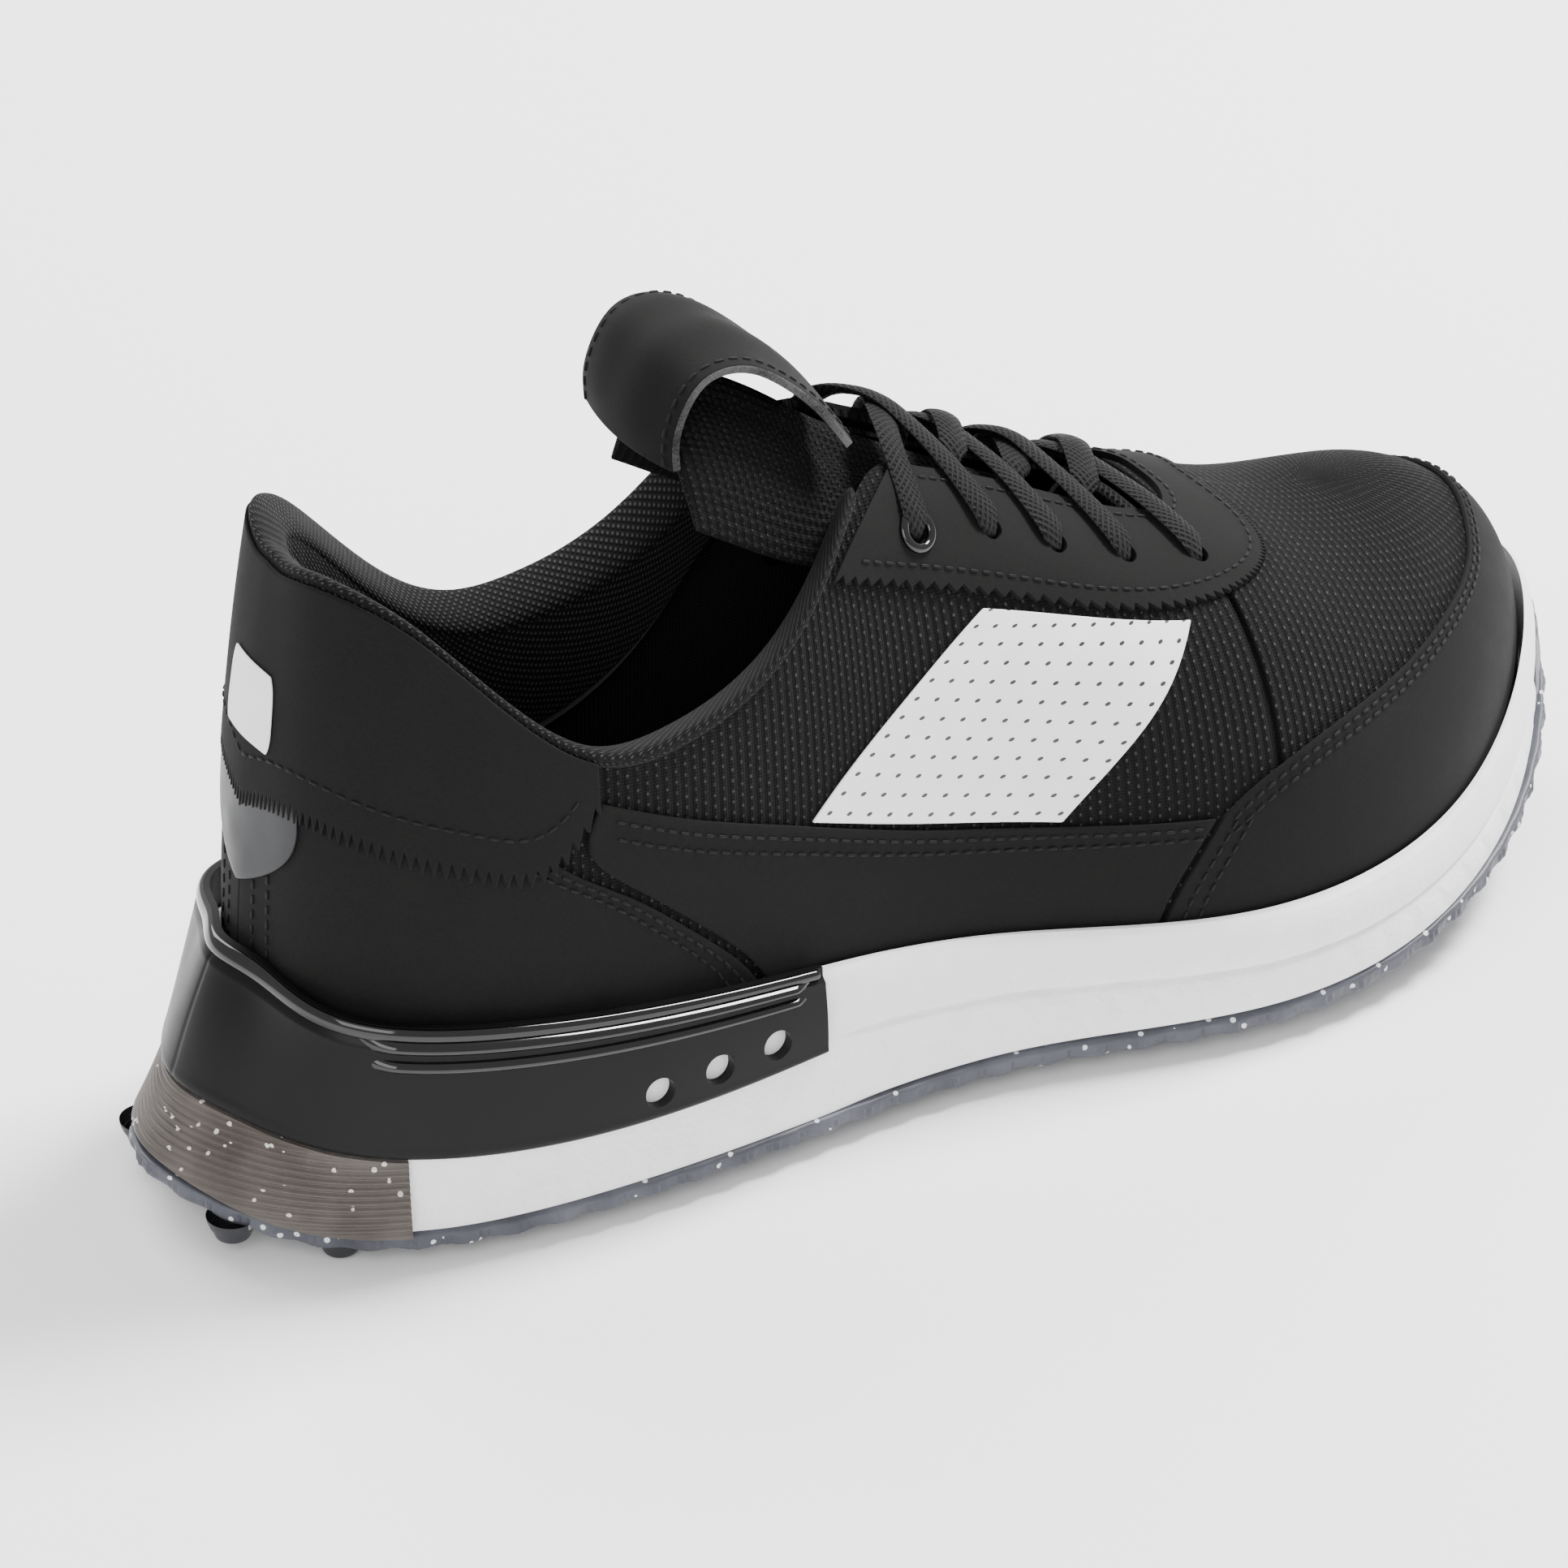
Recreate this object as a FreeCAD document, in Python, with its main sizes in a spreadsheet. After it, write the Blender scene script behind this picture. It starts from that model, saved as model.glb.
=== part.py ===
"""Men's spikeless golf shoe (right foot) as an assembly of its separate pieces.

Frame: +X from heel to toe, +Y to the medial side, +Z up, millimetres. The shoe is drawn with x = 0 at the
back of the sole and z = 0 at the rubber's lower edge, and placed so that the origin is the middle of its
footprint, on the ground under the lugs.

The upper is a fan of wall curves that climb from the sole edge to the ridge line over the instep. A place
on it is (station, climb, depth): station runs 0 at the heel, 1 at the toe along the lateral side and back
to 2 along the medial side (so minus k is the medial twin of k), climb runs 0 at the sole and 1 on the
ridge, and depth is the distance outside the nominal surface. Every panel is a region of this fan between
two depths.
"""
import FreeCAD, Part
import math
import os

V = FreeCAD.Vector
doc = FreeCAD.newDocument("golf_shoe")

# ---------------------------------------------------------------- driving sizes
SIZES = [
    ("outer_length", 302.0), ("lug_height", 3.5), ("lug_base_radius", 4.6), ("lug_tip_radius", 3.2),
    ("outsole_thickness", 3.4), ("mesh_outer", -0.9), ("mesh_inner", -2.2), ("overlay_outer", 0.2),
    ("overlay_inner", -0.8), ("cap_outer", 1.2), ("cap_inner", 0.3), ("stiffener_outer", -2.3),
    ("stiffener_inner", -3.4), ("lining_outer", -3.5), ("lining_inner", -4.4), ("collar_foam_inner", -7.8),
    ("collar_lining_inner", -8.8), ("clip_thickness", 2.2), ("window_radius", 2.9), ("wrap_thickness", 1.6),
    ("board_thickness", 2.0), ("sockliner_thickness", 4.0), ("shank_length", 92.0), ("shank_width", 24.0),
    ("shank_thickness", 1.6), ("lace_radius", 1.3), ("eyelet_radius", 2.2), ("ring_radius", 3.4),
    ("ring_wire", 0.7), ("aglet_radius", 1.5), ("aglet_length", 14.0), ("tongue_thickness", 6.0),
    ("tab_width", 32.0), ("tab_thickness", 1.6),
]
sheet = doc.addObject("Spreadsheet::Sheet", "sizes")
for row, (alias, value) in enumerate(SIZES, 1):
    sheet.set("A%d" % row, alias)
    sheet.set("B%d" % row, str(value))
    sheet.setAlias("B%d" % row, alias)
doc.recompute()


def size(alias):
    return float(sheet.get(alias))


DRAWN_LENGTH = 302.0                     # the length at which the curves below are written
SCALE = size("outer_length") / DRAWN_LENGTH


# ---------------------------------------------------------------- curves
def natural_spline(places, values):
    """Natural cubic spline; outside its range it keeps its end value."""
    count = len(places)
    gaps = [b - a for a, b in zip(places, places[1:])]
    upper = [0.0] * count
    right = [0.0] * count
    bend = [0.0] * count
    for i in range(1, count - 1):
        slope = (values[i + 1] - values[i]) / gaps[i] - (values[i] - values[i - 1]) / gaps[i - 1]
        pivot = 2 * (gaps[i - 1] + gaps[i]) - gaps[i - 1] * upper[i - 1]
        upper[i] = gaps[i] / pivot
        right[i] = (6 * slope - gaps[i - 1] * right[i - 1]) / pivot
    for i in range(count - 2, 0, -1):
        bend[i] = right[i] - upper[i] * bend[i + 1]

    def at(place):
        place = min(max(place, places[0]), places[-1])
        i = 0
        while i < count - 2 and place > places[i + 1]:
            i += 1
        a = (places[i + 1] - place) / gaps[i]
        b = (place - places[i]) / gaps[i]
        cubic = (a ** 3 - a) * bend[i] + (b ** 3 - b) * bend[i + 1]
        return a * values[i] + b * values[i + 1] + cubic * gaps[i] ** 2 / 6
    return at


def along_x(points, factor=SCALE):
    """A value (mm, or a plain ratio with factor 1) against x in mm."""
    return natural_spline([p[0] * SCALE for p in points], [p[1] * factor for p in points])


def against(points):
    """A ratio against a ratio."""
    return natural_spline([p[0] for p in points], [p[1] for p in points])


LATERAL = [(0, 0), (5, -16), (22, -34), (55, -45), (105, -46), (155, -45), (200, -55), (240, -51), (270, -35),
           (291, -13)]
MEDIAL = [(301, 11), (298, 26), (286, 39), (262, 48.5), (232, 52), (200, 50), (160, 42), (110, 36), (60, 38),
          (24, 31), (6, 16)]


def make_outline():
    """Closed plan curve of the sole; parameter 0 at the heel, 0.5 at the toe tip."""
    points = [(x * SCALE, y * SCALE) for x, y in LATERAL + MEDIAL]
    travel = [0.0]
    for a, b in zip(points, points[1:] + points[:1]):
        travel.append(travel[-1] + math.hypot(b[0] - a[0], b[1] - a[1]))
    whole = travel.pop()
    half = travel[len(LATERAL)]
    places = [0.5 * s / half if s <= half else 0.5 + 0.5 * (s - half) / (whole - half) for s in travel]
    wrap = 4
    places = [p - 1 for p in places[-wrap:]] + places + [p + 1 for p in places[:wrap]]
    points = points[-wrap:] + points + points[:wrap]
    return (natural_spline(places, [p[0] for p in points]), natural_spline(places, [p[1] for p in points]))


OUTLINE_X, OUTLINE_Y = make_outline()
SPINE_START, SPINE_END, SPINE_SOFTNESS = 45.0 * SCALE, 248.0 * SCALE, 8.0 * SCALE
SPINE_Y = along_x([(0, 0), (60, 0), (120, 3), (180, 6), (240, 9), (302, 9)])
WALL_INSET = along_x([(0, 21), (15, 14.5), (35, 10), (70, 9), (140, 8), (200, 8), (250, 8), (302, 8)])
FEATHER_Z = along_x([(0, 30), (60, 28), (120, 22), (180, 18), (230, 18), (270, 22), (302, 30)])
RIDGE_Z = along_x([(45, 185), (80, 168), (110, 146), (135, 124), (160, 108), (190, 92), (215, 82), (235, 74),
                   (256, 71)])
SHOULDER = along_x([(0, 0.55), (100, 0.55), (180, 0.62), (240, 0.72), (302, 0.75)], 1)
BULGE = along_x([(0, 2), (30, -2), (100, -1), (200, -2.5), (250, -2), (302, 0)])
CROWN = along_x([(0, 1.1), (20, 0.85), (60, 0.38), (110, 0.20), (160, 0.22), (220, 0.30), (260, 0.40),
                 (302, 0.52)], 1)
GROUND_Z = along_x([(0, 6.5), (12, 2.5), (30, 0), (70, 0), (130, 0), (190, 0), (225, 1.5), (255, 6.5),
                    (280, 14), (301, 25)])
SOLE_TOP_Z = along_x([(0, 36), (40, 36), (90, 34), (125, 31), (160, 26), (200, 22.5), (235, 24), (265, 30),
                      (290, 38), (302, 43)])
COLLAR = against([(0, 0.392), (0.04, 0.392), (0.11, 0.402), (0.146, 0.395), (0.176, 0.374), (0.22, 0.314),
                  (0.253, 0.275), (0.277, 0.265), (0.319, 0.29), (0.357, 0.345), (0.387, 0.425),
                  (0.411, 0.53), (0.435, 0.665), (0.467, 0.80), (0.50, 0.835), (0.571, 0.855), (0.66, 0.84)])
CAP_EDGE = against([(0, 0.185), (0.11, 0.20), (0.162, 0.185), (0.206, 0.17), (0.23, 0.167), (0.253, 0.195),
                    (0.269, 0.235)])


def softened(value):
    """Zero below 0 and the value itself well above it, joined smoothly."""
    return SPINE_SOFTNESS * math.log1p(math.exp(value / SPINE_SOFTNESS))


def fan(station):
    """Mean x, spine point, outline point and inward direction with its length, at a station."""
    place = (station / 2.0) % 1.0
    here = V(OUTLINE_X(place), OUTLINE_Y(place), 0)
    x = 0.5 * (here.x + OUTLINE_X(1 - place))
    centre_x = SPINE_START + softened(x - SPINE_START) - softened(x - SPINE_END)
    spine = V(centre_x, SPINE_Y(centre_x), 0)
    inward = spine - here
    reach = inward.Length
    return x, spine, here, inward / reach, reach


def upper_point(station, climb, depth):
    x, spine, here, inward, reach = fan(station)
    inset = WALL_INSET(x) - depth
    run = reach - inset
    foot = FEATHER_Z(x)
    top = RIDGE_Z(spine.x) + depth
    outs = (0.0, BULGE(x), CROWN(x) * run, run)
    ups = (foot, foot + SHOULDER(x) * (top - foot), top, top)
    rest = 1 - climb
    weights = (rest ** 3, 3 * climb * rest ** 2, 3 * climb ** 2 * rest, climb ** 3)
    out = sum(w * value for w, value in zip(weights, outs))
    point = here + inward * (inset + out)
    return V(point.x, point.y, sum(w * value for w, value in zip(weights, ups)))


def outward_normal(station, climb, depth):
    step = 0.01
    low = min(max(climb, step), 1 - step)
    across = upper_point(station, low + step, depth) - upper_point(station, low - step, depth)
    ahead = upper_point(station + step, low, depth) - upper_point(station - step, low, depth)
    normal = across.cross(ahead)
    normal.normalize()
    toward = upper_point(station, low, depth + 1) - upper_point(station, low, depth)
    return normal if normal.dot(toward) > 0 else normal * -1


# ---------------------------------------------------------------- solids from patches
SEW_GAP = 0.02


def poles_through(points):
    """Poles of the uniform cubic B-spline that runs through the points with free ends."""
    count = len(points) - 1
    factor = [0.0] * (count + 1)
    bend = [V(0, 0, 0)] * (count + 1)
    for i in range(1, count):
        pivot = 4 - factor[i - 1]
        factor[i] = 1 / pivot
        bend[i] = ((points[i - 1] - points[i] * 2 + points[i + 1]) * 6 - bend[i - 1]) * (1 / pivot)
    for i in range(count - 1, 0, -1):
        bend[i] = bend[i] - bend[i + 1] * factor[i]
    start = points[1] - points[0] - bend[1] * (1 / 6)
    end = points[-1] - points[-2] + bend[-2] * (1 / 6)
    inner = [points[i] - bend[i] * (1 / 6) for i in range(1, count)]
    return [points[0], points[0] + start * (1 / 3)] + inner + [points[-1] - end * (1 / 3), points[-1]]


def surface(points):
    """B-spline patch through a grid of points; neighbours with the same edge points share the edge."""
    rows = [poles_through(row) for row in points]
    columns = [poles_through(list(column)) for column in zip(*rows)]
    poles = [list(row) for row in zip(*columns)]
    steps = [len(points) - 1, len(points[0]) - 1]
    knots = [list(range(count + 1)) for count in steps]
    repeats = [[4] + [1] * (count - 1) + [4] for count in steps]
    patch = Part.BSplineSurface()
    patch.buildFromPolesMultsKnots(poles, repeats[0], repeats[1], knots[0], knots[1], False, False, 3, 3)
    return patch


def grid(place, rows, columns):
    """Points of place(u, v) with u and v from 0 to 1."""
    return [[place(i / rows, j / columns) for j in range(columns + 1)] for i in range(rows + 1)]


def closed_solid(faces):
    shell = Part.Compound(faces)
    shell.sewShape(SEW_GAP)
    solid = Part.Solid(shell.Shells[0])
    if solid.Volume < 0:
        solid.reverse()
    return solid


def border(patch, side):
    u0, u1, v0, v1 = patch.bounds()
    line = {"first": lambda: patch.uIso(u0), "last": lambda: patch.uIso(u1),
            "low": lambda: patch.vIso(v0), "high": lambda: patch.vIso(v1)}[side]
    return line().toShape()


def between(outer, inner, sides):
    """The edge faces that join two patches along the named sides."""
    return [Part.makeRuledSurface(border(outer, side), border(inner, side)) for side in sides]


def skin(place, outside, inside, rows, columns):
    """Closed solid of place(u, v) -> (station, climb), between two depths (numbers or functions of v)."""
    def layer(depth):
        return surface(grid(lambda u, v: upper_point(*place(u, v), depth(u, v) if callable(depth) else depth),
                            rows, columns))
    outer = layer(outside)
    inner = layer(inside)
    return closed_solid([outer.toShape(), inner.toShape()]
                        + between(outer, inner, ("first", "last", "low", "high")))


def toe_shell(start, low, outside, inside, rows=16, columns=12):
    """Solid over the forefoot: a lateral and a medial half that share the ridge and the toe line."""
    faces = []
    for sign in (1, -1):
        def place(u, v, depth):
            station = start + (1 - start) * u
            climb = low(station) + (1 - low(station)) * v
            return upper_point(sign * station, climb, depth)
        outer = surface(grid(lambda u, v: place(u, v, outside), rows, columns))
        inner = surface(grid(lambda u, v: place(u, v, inside), rows, columns))
        faces += [outer.toShape(), inner.toShape()] + between(outer, inner, ("first", "low"))
    return closed_solid(faces)


def mix(a, b, share):
    return a + (b - a) * share


def run_through(points):
    """Smooth path through (station, climb) points, from 0 to 1."""
    travel = [0.0]
    for a, b in zip(points, points[1:]):
        travel.append(travel[-1] + math.hypot(b[0] - a[0], b[1] - a[1]))
    places = [s / travel[-1] for s in travel]
    first = natural_spline(places, [p[0] for p in points])
    second = natural_spline(places, [p[1] for p in points])
    return lambda share: (first(share), second(share))


def four_sided(low, high, first, last):
    """Region inside four paths: low and high run with u, first and last with v."""
    def place(u, v):
        corners = [mix(mix(first(0)[i], last(0)[i], u), mix(first(1)[i], last(1)[i], u), v) for i in (0, 1)]
        return tuple(mix(low(u)[i], high(u)[i], v) + mix(first(v)[i], last(v)[i], u) - corners[i]
                     for i in (0, 1))
    return place


def on_side(place, sign):
    """The same region on the lateral (1) or the medial (-1) side."""
    def sided(u, v):
        station, climb = place(u, v)
        return sign * station, climb
    return sided


def over_ridge(place):
    """Region given as (station, lean): lean is minus on the lateral side, 0 on the ridge."""
    def crossed(u, v):
        station, lean = place(u, v)
        return (station if lean < 0 else -station), 1 - abs(lean)
    return crossed


def add(label, shape):
    """A sub-part whose shape comes straight from Part's functions."""
    item = doc.addObject("Part::Feature", label)
    item.Label = label
    item.Shape = shape
    return item


SUBPARTS = []


def keep(item):
    SUBPARTS.append(item)
    return item


# ---------------------------------------------------------------- sole
def plan_wire(inset, level, count=72):
    """Closed outline moved inwards by inset(x), at a height."""
    points = []
    for i in range(count):
        x, _, here, inward, _ = fan(2.0 * i / count)
        points.append(here + inward * inset(x) + V(0, 0, level))
    curve = Part.BSplineCurve()
    curve.interpolate(Points=points, PeriodicFlag=True)
    return Part.Wire([curve.toShape()])


SIDE_REACH = 80.0                        # further out than the sole on each side


def side_band(low, high, start=-10.0, end=312.0, count=28):
    """Slab between two height curves, right across the shoe."""
    stations = [mix(start, end, i / count) * SCALE for i in range(count + 1)]
    lines = []
    for height in (low, high):
        curve = Part.BSplineCurve()
        curve.interpolate([V(x, -SIDE_REACH, height(x)) for x in stations])
        lines.append(curve.toShape())
    ends = [Part.makeLine(V(x, -SIDE_REACH, low(x)), V(x, -SIDE_REACH, high(x)))
            for x in (stations[0], stations[-1])]
    face = Part.Face(Part.Wire([lines[0], ends[1], lines[1], ends[0]]))
    return face.extrude(V(0, 2 * SIDE_REACH, 0))


WALL_LOW, WALL_HIGH = -10.0, 60.0        # levels between which the flared sole wall is ruled


def heel_lean(x):
    """How much the heel end of the sole pulls in towards its top."""
    return 9.0 * SCALE * math.exp(-(x / (18.0 * SCALE)) ** 2)


def wall_inset(x, height):
    """Inset of the sole's side wall: 3 mm at the rubber, growing to the rim."""
    share = (height - 3.5) / 30.0
    bottom = 3.0 - 1.0 * heel_lean(x) / 9.0
    return bottom + share * (2.5 + heel_lean(x))


def wall_prism():
    """The flared body of the sole: one wall patch round the outline, closed by two flat faces."""
    def place(u, v):
        height = mix(WALL_LOW, WALL_HIGH, v)
        x, _, here, inward, _ = fan(2.0 * u)
        point = here + inward * wall_inset(x, height)
        return V(point.x, point.y, height)
    wall = surface(grid(place, 160, 4))
    lids = [Part.Face(Part.Wire([border(wall, side)])) for side in ("low", "high")]
    return closed_solid([wall.toShape()] + lids)


def prism(inset, low=-5.0, high=80.0):
    wire = plan_wire(inset, low)
    return Part.Face(wire).extrude(V(0, 0, high - low))


def boolean(kind, label, base, tool):
    item = doc.addObject("Part::" + kind, label)
    item.Label = label
    item.Base = base
    item.Tool = tool
    return item


def many(kind, label, items):
    item = doc.addObject("Part::" + kind, label)
    item.Label = label
    setattr(item, "Links" if kind == "Compound" else "Shapes", items)
    return item


RUBBER = size("outsole_thickness")
GLUE_GAP = 0.1


def make_outsole():
    blank = add("outsole_outline", prism(lambda x: 2.6 - heel_lean(x) / 9.0))
    band = add("outsole_band", side_band(GROUND_Z, lambda x: GROUND_Z(x) + RUBBER))
    return keep(boolean("Common", "outsole", blank, band))


def floor_height(x):
    return FEATHER_Z(x) - 0.4


SHANK_START = 72.0


def shank_placement():
    """The shank lies under the board, along the slope of the waist."""
    start = SHANK_START * SCALE
    end = start + size("shank_length")
    drop = floor_height(end) - floor_height(start)
    tilt = -math.degrees(math.atan2(drop, end - start))
    below = size("shank_thickness") + 1.0
    return FreeCAD.Placement(V(start, 0, floor_height(start) - below),
                             FreeCAD.Rotation(V(0, 1, 0), tilt))


def plate_body(label, length, width, thickness):
    """Flat plate with round ends: a sketch of two lines and two arcs, padded."""
    body = doc.addObject("PartDesign::Body", label)
    body.Label = label
    sketch = body.newObject("Sketcher::SketchObject", label + "_outline")
    plane = [item for item in body.Origin.OriginFeatures if item.Role == "XY_Plane"][0]
    sketch.AttachmentSupport = [(plane, "")]
    sketch.MapMode = "FlatFace"
    radius = width / 2
    left = V(radius, 0, 0)
    right = V(length - radius, 0, 0)
    up = V(0, 0, 1)
    sketch.addGeometry(Part.LineSegment(V(radius, -radius, 0), V(length - radius, -radius, 0)), False)
    sketch.addGeometry(Part.ArcOfCircle(Part.Circle(right, up, radius), -math.pi / 2, math.pi / 2), False)
    sketch.addGeometry(Part.LineSegment(V(length - radius, radius, 0), V(radius, radius, 0)), False)
    sketch.addGeometry(Part.ArcOfCircle(Part.Circle(left, up, radius), math.pi / 2, 3 * math.pi / 2), False)
    pad = body.newObject("PartDesign::Pad", label + "_pad")
    pad.Profile = sketch
    pad.Length = thickness
    body.Tip = pad
    return body, pad


def make_shank():
    body, pad = plate_body("shank", size("shank_length"), size("shank_width"), size("shank_thickness"))
    pad.setExpression("Length", "sizes.shank_thickness")
    body.Placement = shank_placement()
    return keep(body)


def make_midsole():
    """Cup of foam: flared wall, rubber below, a hollow for the upper and a pocket for the shank."""
    blank = add("midsole_outline", wall_prism())
    band = add("midsole_band", side_band(lambda x: GROUND_Z(x) + RUBBER + GLUE_GAP, SOLE_TOP_Z))
    body = boolean("Common", "midsole_body", blank, band)
    hollow_plan = add("midsole_hollow_plan", prism(lambda x: WALL_INSET(x) - 1.0))
    hollow_band = add("midsole_hollow_band", side_band(floor_height, lambda x: 100.0 * SCALE))
    hollow = boolean("Common", "midsole_hollow", hollow_plan, hollow_band)
    cup = boolean("Cut", "midsole_cup", body, hollow)
    room = 0.3
    pocket = doc.addObject("Part::Box", "shank_pocket")
    pocket.setExpression("Length", "sizes.shank_length + %g" % (2 * room))
    pocket.setExpression("Width", "sizes.shank_width + %g" % (2 * room))
    pocket.Height = 12.0
    pocket.Placement = shank_placement().multiply(
        FreeCAD.Placement(V(-room, -size("shank_width") / 2 - room, -room), FreeCAD.Rotation()))
    return keep(boolean("Cut", "midsole", cup, pocket))


def sole_patch(half_width, centre, low, high, inner, outer, rows=24, columns=4):
    """Curved plate on the sole's side wall around a station, between two heights and two depths."""
    def layer(depth):
        def place(u, v):
            station = centre + mix(-half_width, half_width, u)
            x, _, here, inward, _ = fan(station)
            height = mix(low(x), high(x), v)
            point = here + inward * (wall_inset(x, height) - depth)
            return V(point.x, point.y, height)
        return surface(grid(place, rows, columns))
    outside = layer(outer)
    inside = layer(inner)
    return closed_solid([outside.toShape(), inside.toShape()]
                        + between(outside, inside, ("first", "last", "low", "high")))


CLIP_TOP = along_x([(0, 49), (20, 46), (50, 42), (90, 37), (120, 33.5)])
CLIP_LOW = along_x([(0, 23), (30, 19), (60, 16.5), (120, 17.5)])
CLIP_HALF = 0.385
WINDOWS = [(80, 21.5), (92, 22.2), (104, 22.9)]


def make_heel_clip():
    blank = add("heel_clip_band", sole_patch(CLIP_HALF, 0.0, CLIP_LOW, CLIP_TOP, GLUE_GAP,
                                             size("clip_thickness"), 60, 6))
    holes = []
    for side in (-1, 1):
        for number, (x, height) in enumerate(WINDOWS):
            hole = doc.addObject("Part::Cylinder", "clip_window_%d_%d" % (side + 1, number))
            hole.setExpression("Radius", "sizes.window_radius")
            hole.Height = 40.0
            hole.Placement = FreeCAD.Placement(V(x * SCALE, side * 30.0, height),
                                               FreeCAD.Rotation(V(0, 0, 1), V(0, side, 0)))
            holes.append(hole)
    tools = many("Compound", "clip_windows", holes)
    return keep(boolean("Cut", "heel_clip", blank, tools))


def make_rubber_trims():
    wrap = sole_patch(0.155, 0.0, lambda x: GROUND_Z(x) + RUBBER + 0.3, lambda x: CLIP_LOW(x) - 0.8,
                      GLUE_GAP, size("wrap_thickness"))
    keep(add("heel_rubber_wrap", wrap))
    bumper = sole_patch(0.085, 1.0, lambda x: GROUND_Z(x) + RUBBER + 0.3, lambda x: SOLE_TOP_Z(x) - 5.0,
                        GLUE_GAP, size("wrap_thickness"))
    keep(add("toe_bumper", bumper))


LUG_ROWS = [(10, 2), (26, 2), (44, 3), (62, 2), (82, 2), (150, 2), (172, 3), (194, 3), (216, 3), (238, 3),
            (258, 2), (276, 1)]
HEEL_LUG_SPREAD, FOREFOOT_LUG_SPREAD, HEEL_LUGS_END = 0.74, 0.62, 90.0


def make_lugs():
    """Truncated cones in staggered rows; they start just inside the rubber."""
    lugs = []
    embed = 0.8
    for x, count in LUG_ROWS:
        x *= SCALE
        row_y = [SPINE_Y(x)] if count == 1 else []
        if count > 1:
            share = HEEL_LUG_SPREAD if x < HEEL_LUGS_END * SCALE else FOREFOOT_LUG_SPREAD
            spread = share * row_half_width(x)
            row_y = [SPINE_Y(x) + mix(-spread, spread, i / (count - 1)) for i in range(count)]
        for y in row_y:
            lug = doc.addObject("Part::Cone", "lug_%02d" % len(lugs))
            lug.setExpression("Radius1", "sizes.lug_tip_radius")
            lug.setExpression("Radius2", "sizes.lug_base_radius")
            lug.setExpression("Height", "sizes.lug_height + %g" % embed)
            tip = max(GROUND_Z(x), 0.0) - size("lug_height")
            lug.Placement = FreeCAD.Placement(V(x, y, tip), FreeCAD.Rotation())
            lugs.append(lug)
    return keep(many("Compound", "traction_lugs", lugs))


def row_half_width(x):
    """Half width of the sole at x, from the nearest lateral station."""
    nearest = min((abs(OUTLINE_X(i / 400) - x), i / 400) for i in range(201))[1]
    return abs(OUTLINE_Y(nearest) - SPINE_Y(x))


def inner_slab(label, low, thickness, margin):
    """Flat piece lying in the shoe: the outline inside the upper, curved with the sole."""
    blank = add(label + "_outline", prism(lambda x: WALL_INSET(x) + margin))
    band = add(label + "_band", side_band(lambda x: FEATHER_Z(x) + low,
                                          lambda x: FEATHER_Z(x) + low + thickness))
    return keep(boolean("Common", label, blank, band))


# ---------------------------------------------------------------- upper
SIDES = (("lateral", 1), ("medial", -1))
QUARTER_END, VAMP_START = 0.650, 0.654
WING_SEAM = run_through([(0.365, 0.0), (0.347, 0.06), (0.315, 0.105), (0.283, 0.14), (0.244, 0.175),
                         (0.225, 0.215)])
BAND_REAR = run_through([(0.371, 0.0), (0.352, 0.063), (0.32, 0.109), (0.288, 0.145), (0.262, 0.18),
                         (0.268, 0.228)])
BAND_TOP = run_through([(0.268, 0.228), (0.317, 0.21), (0.377, 0.20), (0.457, 0.19), (0.525, 0.187),
                        (0.612, 0.193)])
RAND_REAR = run_through([(0.581, 0.0), (0.589, 0.065), (0.601, 0.125), (0.616, 0.195)])
BAND_FRONT = run_through([(0.577, 0.0), (0.585, 0.065), (0.597, 0.125), (0.612, 0.193)])
RAND_TOP = against([(0.616, 0.195), (0.63, 0.23), (0.659, 0.285), (0.721, 0.375), (0.80, 0.44), (0.89, 0.45),
                    (0.95, 0.48), (1.0, 0.50)])
EYELETS = [(0.645, 0.73), (0.599, 0.715), (0.557, 0.705), (0.519, 0.70), (0.471, 0.65)]


def eyelet_tools(label):
    """One punch per eyelet, along the surface's normal."""
    punches = []
    for name, sign in SIDES:
        for number, (station, climb) in enumerate(EYELETS):
            punch = doc.addObject("Part::Cylinder", "%s_punch_%s_%d" % (label, name, number))
            punch.setExpression("Radius", "sizes.eyelet_radius")
            punch.Height = 12.0
            normal = outward_normal(sign * station, climb, 0)
            start = upper_point(sign * station, climb, 0) - normal * 8.0
            punch.Placement = FreeCAD.Placement(start, FreeCAD.Rotation(V(0, 0, 1), normal))
            punches.append(punch)
    return many("Compound", label + "_punches", punches)


def make_mesh_and_lining():
    for name, sign in SIDES:
        def quarter(u, v):
            station = QUARTER_END * u
            return sign * station, v * COLLAR(station)
        mesh = add(name + "_quarter_blank", skin(quarter, size("mesh_outer"), size("mesh_inner"), 40, 10))
        keep(boolean("Cut", name + "_quarter_mesh", mesh, eyelet_tools(name + "_mesh")))

        def lining(u, v):
            station = mix(0.002, QUARTER_END, u)
            drop = lining_drop(station)
            return sign * station, mix(0.03, COLLAR(station) - drop, v)
        inner = add(name + "_lining_blank", skin(lining, size("lining_outer"), size("lining_inner"), 40, 10))
        keep(boolean("Cut", name + "_quarter_lining", inner, eyelet_tools(name + "_lining")))
    keep(add("vamp_mesh", toe_shell(VAMP_START, lambda k: 0.0, size("mesh_outer"), size("mesh_inner"))))
    keep(add("vamp_lining", toe_shell(VAMP_START, lambda k: 0.10, size("lining_outer"),
                                      size("lining_inner"))))


FOAM_END = 0.425
FOAM_WIDTH = 0.13
FOAM_FADE = 0.05


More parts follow.
